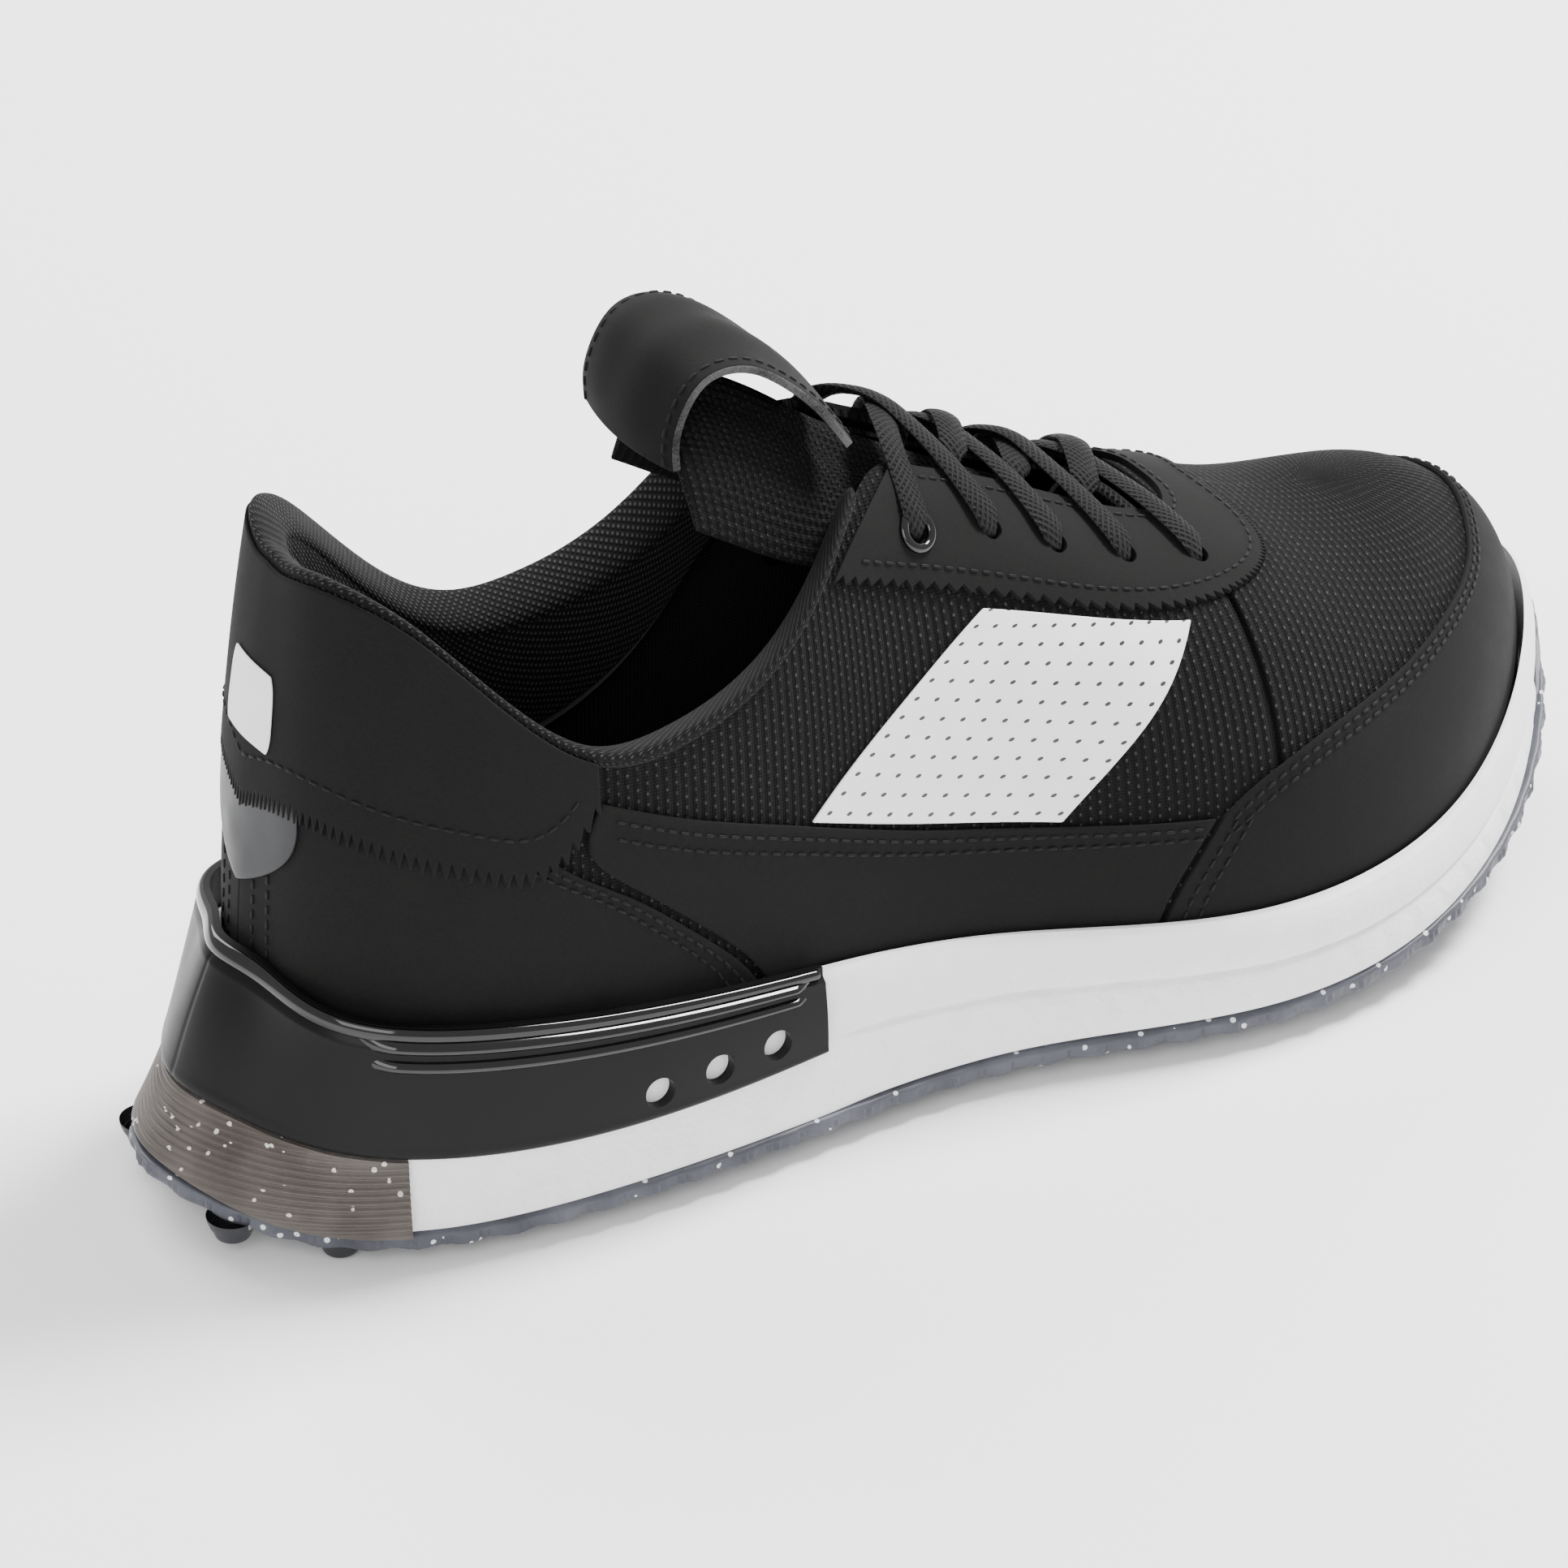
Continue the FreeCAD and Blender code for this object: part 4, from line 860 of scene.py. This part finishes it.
def eyelet_drills():
    stations = np.array([sign * k for _, sign in SIDES for k, _ in EYELETS])
    climbs = np.array([climb for _ in SIDES for _, climb in EYELETS])
    ways = normals(stations, climbs)
    return pins("eyelet_drills", upper_points(stations, climbs) - 8 * ways, ways, EYELET_RADIUS, 14.0, 24)


def make_cloth():
    for name, sign in SIDES:
        def quarter(u, v):
            station = QUARTER_END * u
            return sign * station, v * COLLAR(station)
        item = panel(name + "_quarter_mesh", quarter, 301, 81, -0.9, -2.2, slot="mesh_black", material=MESH,
                     nodes=[name + "_quarter_mesh"])
        drill(item, eyelet_drills())

        def lining(u, v):
            station = mix(0.002, QUARTER_END, u)
            return sign * station, mix(0.03, COLLAR(station) - lining_drop(station), v)
        item = panel(name + "_quarter_lining", lining, 221, 41, -3.5, -4.4, slot="lining", material=KNIT,
                     nodes=[name + "_quarter_lining"])
        drill(item, eyelet_drills())
    u, v = np.meshgrid(np.linspace(VAMP_START, 2 - VAMP_START, 301), np.linspace(0, 1, 91), indexing="ij")
    item = slab("vamp_mesh", upper_points(u, v, -0.9), upper_points(u, v, -2.2))
    merge_close(item)
    finish_piece(item, "shoe", slot="mesh_black", material=MESH, nodes=["vamp_mesh"])


# ---------------------------------------------------------------- stitching
THREAD_RADIUS, STITCH_LENGTH, STITCH_PITCH = 0.30, 1.9, 2.7
stitches = []


def resample(points, pitch):
    steps = np.linalg.norm(np.diff(points, axis=0), axis=1)
    travel = np.concatenate([[0], np.cumsum(steps)])
    count = max(int(travel[-1] / pitch), 1)
    wanted = np.linspace(0, travel[-1], count + 1)
    return np.stack([np.interp(wanted, travel, points[:, axis]) for axis in range(3)], -1)


def stitch(points):
    """Notes a dashed row of thread along a path in drawing mm."""
    marks = resample(np.asarray(points), STITCH_PITCH)
    for a, b in zip(marks[:-1], marks[1:]):
        middle = (a + b) / 2
        half = (b - a) / np.linalg.norm(b - a) * STITCH_LENGTH / 2
        stitches.append((middle - half, middle + half))


def stitch_on(place, depth, start=0.0, end=1.0, count=300):
    share = np.linspace(start, end, count)
    station, climb = place(share)
    stitch(upper_points(station, climb, depth))


def sew(name, body, slot, look):
    """Turns the noted rows into one mesh of short rounded threads."""
    profile = [(0.0, 0.0), (0.06, 0.7), (0.2, 1.0), (0.5, 1.05), (0.8, 1.0), (0.94, 0.7), (1.0, 0.0)]
    sides = 8
    points, faces = [], []
    for start, end in stitches:
        ahead = end - start
        side = np.cross(ahead, [0.13, 0.21, 1.0])
        side /= np.linalg.norm(side)
        other = np.cross(ahead / np.linalg.norm(ahead), side)
        base = len(points) * sides * len(profile)
        body_points = [[start + ahead * t + THREAD_RADIUS * r * (side * math.cos(a) + other * math.sin(a))
                        for t, r in profile] for a in np.linspace(0, 2 * np.pi, sides, endpoint=False)]
        faces += grid_faces(sides, len(profile), base, wrap=True)
        points.append(body_points)
    item = new_object(name, np.array(points), faces)
    merge_close(item, 0.003 * MM)
    stitches.clear()
    return finish_piece(item, body, slot=slot, material=look)


# ---------------------------------------------------------------- overlays
def make_overlays():
    for name, sign in SIDES:
        heel = four_sided(lambda u: (0.365 * u, 0.0 * u), lambda u: (0.225 * u, 0.215 + 0 * u),
                          lambda v: (0.0 * v, 0.215 * v), WING_SEAM)
        panel(name + "_heel_panel", on_side(heel, sign), 121, 41, OVER, UNDER, slot="nubuck_black",
              material=NUBUCK, nodes=[name + "_heel_panel"])
        for gap in (0.008, 0.017):
            stitch_on(lambda s, gap=gap: (sign * (WING_SEAM(s)[0] - gap), WING_SEAM(s)[1]), OVER + 0.1,
                      0.12, 0.97)
        band = four_sided(lambda u: (mix(0.371, 0.577, u), 0.0 * u), BAND_TOP, BAND_REAR, BAND_FRONT)
        panel(name + "_quarter_band", on_side(band, sign), 121, 41, OVER, UNDER, slot="nubuck_black",
              material=NUBUCK, nodes=[name + "_quarter_band"])
        for gap in (0.014, 0.030):
            stitch_on(lambda s, gap=gap: (sign * BAND_TOP(s)[0], BAND_TOP(s)[1] - gap), OVER + 0.1,
                      0.02, 0.98)
        saddle = four_sided(lambda u: (mix(0.388, 0.53, u), mix(0.203, 0.194, u)),
                            lambda u: (mix(0.50, 0.62, u), mix(0.53, 0.57, u)), SADDLE_REAR, SADDLE_FRONT)
        panel(name + "_saddle", on_side(saddle, sign), 91, 91, 0.0, UNDER, slot="saddle_white",
              material=PERFORATED, nodes=[name + "_saddle"])
        for gap in (0.014, 0.028):
            stitch_on(lambda s, gap=gap: (sign * (RAND_REAR(s)[0] + gap * 0.6), RAND_REAR(s)[1]), OVER + 0.1,
                      0.08, 0.98)
        for place in (0.026, 0.048):
            stitch_on(lambda s, place=place: (sign * place + 0 * s, mix(0.165, 0.045, s)), OVER + 0.1)

    def rand(u, v):
        share = abs(2 * u - 1)
        rear, _ = RAND_REAR(v)
        station = mix(1.0, rear, share)
        return np.where(u < 0.5, station, 2 - station), v * RAND_TOP(mix(1.0, 0.616, share))
    panel("toe_rand", rand, 401, 41, OVER, UNDER, slot="nubuck_black", material=NUBUCK, nodes=["toe_rand"])
    for gap in (0.018, 0.040):
        def along(s, gap=gap):
            reach = 2 * s - 1
            station = mix(1.0, 0.620, abs(reach))
            return np.where(reach < 0, station, 2 - station), RAND_TOP(station) - gap
        stitch_on(along, OVER + 0.1, count=700)

    def cap(u, v):
        station = mix(-0.266, 0.266, u)
        low = CAP_EDGE(abs(station)) - 0.0075 * teeth(u, 84) * (1 - smooth(0.0, 0.10, v))
        return station, mix(low, COLLAR(abs(station)) - 0.002, v)
    panel("heel_cap", cap, 881, 41, 1.2, 0.3, 0.0, slot="nubuck_black", material=NUBUCK, nodes=["heel_cap"])

    def cap_row(s):
        station = mix(-0.255, 0.255, s)
        return station, CAP_EDGE(abs(station)) + 0.034
    stitch_on(cap_row, 1.25, count=600)

    def half_moon(u, v):
        station = mix(-0.085, 0.085, u)
        edge = CAP_EDGE(abs(station)) - 0.003
        return station, mix(edge - 0.062 * (1 - (station / 0.0855) ** 2) ** 0.4 - 0.002, edge + 0.02, v)
    panel("heel_half_moon_tab", half_moon, 121, 15, 0.95, 0.25, slot="tab_grey", material=GREY_TAB,
          nodes=["heel_half_moon_tab"])

    def patch(u, v):
        return mix(-0.05, 0.05, u) * (1 - 0.12 * (2 * v - 1) ** 4), mix(0.235, 0.30, v)
    panel("heel_patch", patch, 41, 41, 1.8, 1.25, slot="saddle_white", material=WHITE, nodes=["heel_patch"])


INNER_HALF = [(0.472, -0.20), (0.52, -0.165), (0.571, -0.15), (0.63, -0.155), (0.655, -0.10)]
OUTER_HALF = [(0.413, -0.485), (0.467, -0.45), (0.575, -0.42), (0.629, -0.385), (0.668, -0.33),
              (0.693, -0.24), (0.698, -0.12)]


def mirrored(half, tip):
    return run_through(half + [(tip, 0.0)] + [(k, -lean) for k, lean in reversed(half)])


def make_eyestay():
    inner, outer = mirrored(INNER_HALF, 0.66), mirrored(OUTER_HALF, 0.695)

    def place(u, v):
        a, b = inner(u), outer(u)
        reach = v * (1 + 0.030 * teeth(u, 136) * smooth(0.86, 1.0, v))
        return mix(a[0], b[0], reach), mix(a[1], b[1], reach)
    item = panel("eyestay", over_ridge(place), 1361, 27, 0.35, UNDER, 0.0, slot="nubuck_black",
                 material=NUBUCK, nodes=["eyestay"])
    drill(item, eyelet_drills())
    for share in (0.12, 0.87):
        def row(s, share=share):
            a, b = inner(s), outer(s)
            return over_ridge(lambda u, v: (mix(a[0], b[0], share), mix(a[1], b[1], share)))(s, share)
        stitch_on(row, 0.42, 0.01, 0.99, 900)


def make_rings():
    """Round enamelled rings on the last pair of eyelets."""
    station, climb = EYELETS[-1]
    turn = np.linspace(0, 2 * np.pi, 49)[:-1]
    around = np.linspace(0, 2 * np.pi, 17)
    points, faces = [], []
    for sign in (1, -1):
        way = normals(sign * station, climb)
        centre = upper_points(sign * station, climb, 0.35)
        side = np.cross(way, [0, 0, 1.0])
        side /= np.linalg.norm(side)
        other = np.cross(way, side)
        base = len(points) * 48 * 17
        body = [[centre + (3.15 + 0.95 * math.cos(b)) * (side * math.cos(a) + other * math.sin(a))
                 + way * (0.25 + 0.75 * math.sin(b)) for b in around] for a in turn]
        points.append(body)
        faces += grid_faces(48, 17, base, wrap=True)
    item = new_object("eyelet_rings", np.array(points), faces)
    merge_close(item, 0.003 * MM)
    finish_piece(item, "shoe", slot="ring_black", material=GLOSS, nodes=["eyelet_rings"])


# ---------------------------------------------------------------- collar
def make_collar():
    station = np.linspace(-FOAM_END, FOAM_END, 321)[:, None]
    v = np.linspace(0, 1, 49)[None, :]
    top = COLLAR(abs(station))
    climb = top - FOAM_WIDTH * (1 - v) + 0.004 * v
    swell = np.sin(np.pi * v ** 1.1) ** 0.8 * (1 - 0.75 * smooth(0.26, 0.36, abs(station)))
    pads = 0.75 + 0.25 * np.cos(2 * np.pi * station / 0.17)
    wrinkle = 0.16 * np.sin(2 * np.pi * (station / 0.021 + 0.8 * v)) * swell
    inner = -8.8 - 2.2 * swell * pads - wrinkle + 3.6 * (1 - smooth(0.0, 0.12, v))
    back = upper_points(station, climb, inner + 0.9)
    item = slab("collar_lining", upper_points(station, climb, inner), back)
    finish_piece(item, "shoe", slot="lining", material=TWILL, nodes=["collar_lining"])

    station = np.linspace(-0.438, 0.438, 361)[:, None]
    turn = np.linspace(0, 2 * np.pi, 33)[None, :-1]
    top = COLLAR(abs(station))
    upward = upper_points(station, top + 0.01) - upper_points(station, top - 0.01)
    upward /= np.linalg.norm(upward, axis=-1, keepdims=True)
    width = np.sign(np.cos(turn)) * abs(np.cos(turn)) ** 0.75
    height = np.sign(np.sin(turn)) * abs(np.sin(turn)) ** 0.8
    points = upper_points(station, top + 0.004 + 0 * turn, -4.25 + 4.75 * width)
    points = points + upward * (2.1 * height)[..., None]
    rows, columns = points.shape[:2]
    faces = [face for face in grid_faces(columns, rows, wrap=True)]
    flat = points.transpose(1, 0, 2)
    ends = [tuple(j * rows for j in range(columns)), tuple(j * rows + rows - 1 for j in range(columns))[::-1]]
    uv = surface_uv(flat)
    item = new_object("collar_binding", flat, faces + ends, uv)
    tidy_normals(item)
    finish_piece(item, "shoe", slot="binding", material=TWILL, nodes=["collar_binding"])


# ---------------------------------------------------------------- tongue
TONGUE_TOP, TONGUE_BASE = 0.352, 0.650
TONGUE_LEAN = natural_spline([(0.35, 0.43), (0.42, 0.42), (0.50, 0.30), (0.65, 0.24)])
TONGUE_THICKNESS = 6.0


def tongue_depth(lean, station):
    middle = np.clip(1 - (lean / 0.10) ** 2, 0, None) ** 2
    fade = np.clip((0.63 - station) / 0.05, 0, 1)
    drop = np.clip((0.44 - station) / 0.08, 0, None) ** 2
    side_share = np.clip(abs(lean) / 0.43, 0, 1)
    return -9.6 + 3.6 * middle * fade - 9.0 * drop * (1 - 0.85 * side_share)


def make_tongue():
    u, v = np.meshgrid(np.linspace(0, 1, 241), np.linspace(-1, 1, 161), indexing="ij")
    station = mix(TONGUE_TOP, TONGUE_BASE, u)
    lean = TONGUE_LEAN(station) * v
    place = (np.where(lean > 0, -station, station), 1 - abs(lean))
    edge = np.clip(1 - abs(v) ** 10, 0, 1) ** 0.5 * np.clip(1 - np.clip(1 - u * 14, 0, 1) ** 2, 0, 1) ** 0.5
    thick = TONGUE_THICKNESS * (1 - 0.55 * abs(v) ** 3) * (0.12 + 0.88 * edge)
    ribs = 0.28 * np.sin(2 * np.pi * v * 21) * edge
    centre = tongue_depth(lean, station) - TONGUE_THICKNESS * (1 - 0.55 * abs(v) ** 3) / 2
    underside = upper_points(*place, centre - thick / 2)
    item = slab("tongue", upper_points(*place, centre + thick / 2 + ribs), underside)
    finish_piece(item, "tongue", slot="tongue_mesh", material=TONGUE_MESH, nodes=["tongue"])


TAB_LINE = [(99.8, 123), (99.6, 128), (101.2, 134), (107, 141), (115, 141.6), (124, 136.5), (132, 128.5),
            (138, 120)]
TAB_WIDTH, TAB_THICKNESS = 32.0, 1.6


def make_pull_tab():
    middle = run_through(TAB_LINE)
    share = np.linspace(0, 1, 121)
    x, z = middle(share)
    ahead = np.stack([np.gradient(x), np.gradient(z)], -1)
    ahead /= np.linalg.norm(ahead, axis=1, keepdims=True)
    across = np.stack([-ahead[:, 1], ahead[:, 0]], -1)
    y = np.linspace(-1, 1, 61)
    sag = -2.2 * (y[None, :] ** 2) - 0.25 * np.sin(7 * y[None, :]) * np.sin(np.pi * share)[:, None]

    def layer(offset):
        lift = sag + offset
        xs = x[:, None] + across[:, :1] * lift
        zs = z[:, None] + across[:, 1:] * lift
        return np.stack([xs, TAB_MIDDLE_Y + y[None, :] * TAB_WIDTH / 2 + 0 * xs, zs], -1)
    outer, inner = layer(TAB_THICKNESS / 2), layer(-TAB_THICKNESS / 2)
    item = slab("tongue_pull_tab", outer, inner)
    bevel(item, 0.3)
    finish_piece(item, "tongue", slot="nubuck_black", material=NUBUCK, nodes=["tongue_pull_tab"])
    item.data.materials.append(FRAYED)
    rim = 2 * 120 * 60
    for face in item.data.polygons[rim:]:
        face.material_index = 1
    for column in (4, 56):
        stitch(layer(TAB_THICKNESS / 2 + 0.12)[:, column])
    sew("pull_tab_stitching", "tongue", "nubuck_black", THREAD)


# ---------------------------------------------------------------- lace
LACE_OVER, LACE_CROSSING, LACE_UNDER = 2.0, 4.0, -5.9
THROAT_EDGE, BELOW_EDGE = 0.86, 0.895


def crossing_run(side, number, level, last):
    k0, climb0 = EYELETS[number]
    k1, climb1 = EYELETS[number + 1]
    leave, arrive = mix(k0, k1, 0.2), mix(k0, k1, 0.85)
    places = [(side * k0, climb0, LACE_UNDER), (side * k0, climb0, LACE_OVER),
              (side * leave, THROAT_EDGE, LACE_OVER), (side * mix(k0, k1, 0.5), 1.0, level)]
    if last:
        return places + [(-side * arrive, THROAT_EDGE, LACE_OVER), (-side * k1, climb1, LACE_OVER)]
    return places + [(-side * arrive, BELOW_EDGE, LACE_OVER / 2), (-side * k1, BELOW_EDGE - 0.01, LACE_UNDER)]


def strand(side, level):
    places = []
    for number in range(len(EYELETS) - 1):
        places += crossing_run(side, number, level, number == len(EYELETS) - 2)
        side = -side
    station, climb = EYELETS[-1]
    places.append((side * station, climb, LACE_UNDER))
    places.append((side * (station - 0.004), climb - 0.07, LACE_UNDER - 1.6))
    return places


def rounded(points, radius_share=0.45, steps=10):
    """Polyline with its corners turned into smooth bends."""
    path = [points[0]]
    for before, corner, after in zip(points, points[1:], points[2:]):
        reach = radius_share * min(np.linalg.norm(corner - before), np.linalg.norm(after - corner))
        a = corner + (before - corner) / np.linalg.norm(before - corner) * reach
        b = corner + (after - corner) / np.linalg.norm(after - corner) * reach
        for t in np.linspace(0, 1, steps):
            path.append((1 - t) ** 2 * a + 2 * t * (1 - t) * corner + t * t * b)
    path.append(points[-1])
    return np.array(path)


def make_laces():
    first = strand(1, LACE_OVER)
    second = strand(-1, LACE_CROSSING)
    station = EYELETS[0][0]
    bar = [(station, 0.84, LACE_UNDER), (station - 0.003, 1.0, LACE_UNDER), (-station, 0.84, LACE_UNDER)]
    places = np.array(list(reversed(first)) + bar + second)
    corners = upper_points(places[:, 0], places[:, 1], places[:, 2])
    ways = normals(places[:, 0], np.clip(places[:, 1], 0, 0.97))
    both = rounded(np.concatenate([corners, ways * 10, places[:, 2:]], -1))
    keep = np.concatenate([[True], np.linalg.norm(np.diff(both[:, :3], axis=0), axis=1) > 1e-4])
    both = both[keep]
    travel = np.concatenate([[0], np.cumsum(np.linalg.norm(np.diff(both[:, :3], axis=0), axis=1))])
    wanted = np.linspace(0, travel[-1], int(travel[-1] / 0.7))
    both = np.stack([np.interp(wanted, travel, both[:, i]) for i in range(7)], -1)
    path, way, depth = both[:, :3], both[:, 3:6], both[:, 6]
    ahead = np.gradient(path, axis=0)
    ahead /= np.linalg.norm(ahead, axis=1, keepdims=True)
    across = np.cross(ahead, way)
    strength = np.linalg.norm(across, axis=1)
    for i in range(1, len(across)):
        if np.dot(across[i], across[i - 1]) < 0 and strength[i] < 4:
            across[i] *= -1
    window = np.hanning(9)
    across = np.stack([np.convolve(across[:, i], window / window.sum(), mode="same") for i in range(3)], -1)
    across -= ahead * (across * ahead).sum(1, keepdims=True)
    across /= np.linalg.norm(across, axis=1, keepdims=True)
    up = np.cross(across, ahead)
    flat = smooth(-1.5, 1.6, depth)
    half_width = mix(1.55, 3.0, flat)
    half_thick = mix(1.25, 0.72, flat)
    turn = np.linspace(0, 2 * np.pi, 25)
    wide = np.sign(np.cos(turn)) * abs(np.cos(turn)) ** 0.9
    tall = np.sin(turn) * (1 - 0.18 * np.cos(2 * turn))
    pucker = 1 + 0.035 * np.sin(2 * np.pi * wanted / 1.5)
    points = (path[:, None] + across[:, None] * (half_width * pucker)[:, None, None] * wide[None, :, None]
              + up[:, None] * half_thick[:, None, None] * tall[None, :, None])
    rows, columns = points.shape[:2]
    uv = np.stack([np.broadcast_to(wanted[:, None], (rows, columns)),
                   half_width[:, None] * wide[None, :]], -1)
    faces = grid_faces(rows, columns) + [tuple(range(columns - 1))[::-1],
                                         tuple((rows - 1) * columns + j for j in range(columns - 1))]
    item = new_object("laces", points, faces, uv)
    merge_close(item, 0.002 * MM)
    finish_piece(item, "shoe", slot="lace_black", material=BRAID, nodes=["laces"])
    ends = [corners[0], corners[-1]]
    ways = [corners[0] - corners[1], corners[-1] - corners[-2]]
    tips = pins("lace_aglets", ends, ways, 1.5, 14.0, 24)
    bevel(tips, 0.35)
    finish_piece(tips, "shoe", slot="aglet_clear", material=GLOSS, nodes=["lace_aglets"])


# ---------------------------------------------------------------- build
def perforated():
    """White coated cloth with rows of small punched holes."""
    made = material("saddle_perforated", (0.80, 0.80, 0.80), 0.42, specular=0.45)
    n = Nodes(made)
    u, v = n.uv()
    pitch = 4.2 * MM
    offsets = []
    for value in (u, v):
        turned = n.math("SUBTRACT", n.math("MODULO", n.math("DIVIDE", value, pitch), 1.0), 0.5)
        offsets.append(n.math("MULTIPLY", turned, turned))
    reach = n.math("SQRT", n.math("ADD", *offsets))
    hole = n.math("LESS_THAN", reach, 0.115)
    cloud = n.noise(120.0, 4.0)
    shade = n.ramp(cloud, 0.3, 0.7, (0.76, 0.76, 0.76), (0.82, 0.82, 0.82))
    blend = n.add("ShaderNodeMix", Factor=hole)
    blend.data_type = "RGBA"
    n.tree.links.new(shade, blend.inputs["A"])
    blend.inputs["B"].default_value = (0.03, 0.03, 0.03, 1)
    n.colour(blend.outputs["Result"])
    n.bump(n.math("SUBTRACT", n.math("MULTIPLY", n.noise(1700.0, 3.0), 0.15), hole), 0.6, 0.3)
    return made


PERFORATED = perforated()
make_midsole()
make_outsole()
make_lugs()
make_clip()
make_rubber_trims()
make_sockliner()
make_cloth()
make_overlays()
make_eyestay()
make_rings()
make_collar()
make_tongue()
sew("upper_stitching", "shoe", "nubuck_black", THREAD)
make_pull_tab()
make_laces()

# ---------------------------------------------------------------- stage
TARGET = Vector((-0.01784, 0.00353, 0.0465))
VIEW_TURN, VIEW_RISE, VIEW_DISTANCE, VIEW_LENS = 30.0, 31.5, 1.35, 172.7


def add_floor():
    size, level = 4.0, -0.0005
    mesh = bpy.data.meshes.new("floor")
    mesh.from_pydata([(-size, -size, level), (size, -size, level), (size, size, level), (-size, size, level)],
                     [], [(0, 1, 2, 3)])
    floor = bpy.data.objects.new("floor", mesh)
    bpy.context.scene.collection.objects.link(floor)
    look = material("floor", (0.93, 0.93, 0.93), 0.9, specular=0.1)
    mesh.materials.append(look)


def add_light(name, place, power, size):
    lamp = bpy.data.lights.new(name, "AREA")
    lamp.energy = power
    lamp.shape = "SQUARE"
    lamp.size = size
    item = bpy.data.objects.new(name, lamp)
    item.location = place
    item.rotation_euler = (TARGET - Vector(place)).to_track_quat("-Z", "Y").to_euler()
    bpy.context.scene.collection.objects.link(item)


def add_camera():
    turn, rise = math.radians(VIEW_TURN), math.radians(VIEW_RISE)
    away = Vector((-math.sin(turn) * math.cos(rise), -math.cos(turn) * math.cos(rise), math.sin(rise)))
    camera = bpy.data.cameras.new("camera")
    camera.lens = VIEW_LENS
    camera.sensor_width = 36.0
    item = bpy.data.objects.new("camera", camera)
    item.location = TARGET + away * VIEW_DISTANCE
    item.rotation_euler = away.to_track_quat("Z", "Y").to_euler()
    bpy.context.scene.collection.objects.link(item)
    bpy.context.scene.camera = item


add_floor()
add_light("key", (0.85, 0.05, 1.30), 62.0, 0.5)
add_light("fill", (-0.9, -0.9, 0.8), 14.0, 1.0)
add_light("back", (-0.2, 1.1, 1.0), 20.0, 0.9)
world = bpy.data.worlds.new("soft_studio")
world.use_nodes = True
world.node_tree.nodes["Background"].inputs["Color"].default_value = (1.0, 1.0, 1.0, 1.0)
world.node_tree.nodes["Background"].inputs["Strength"].default_value = 0.90
bpy.context.scene.world = world
add_camera()
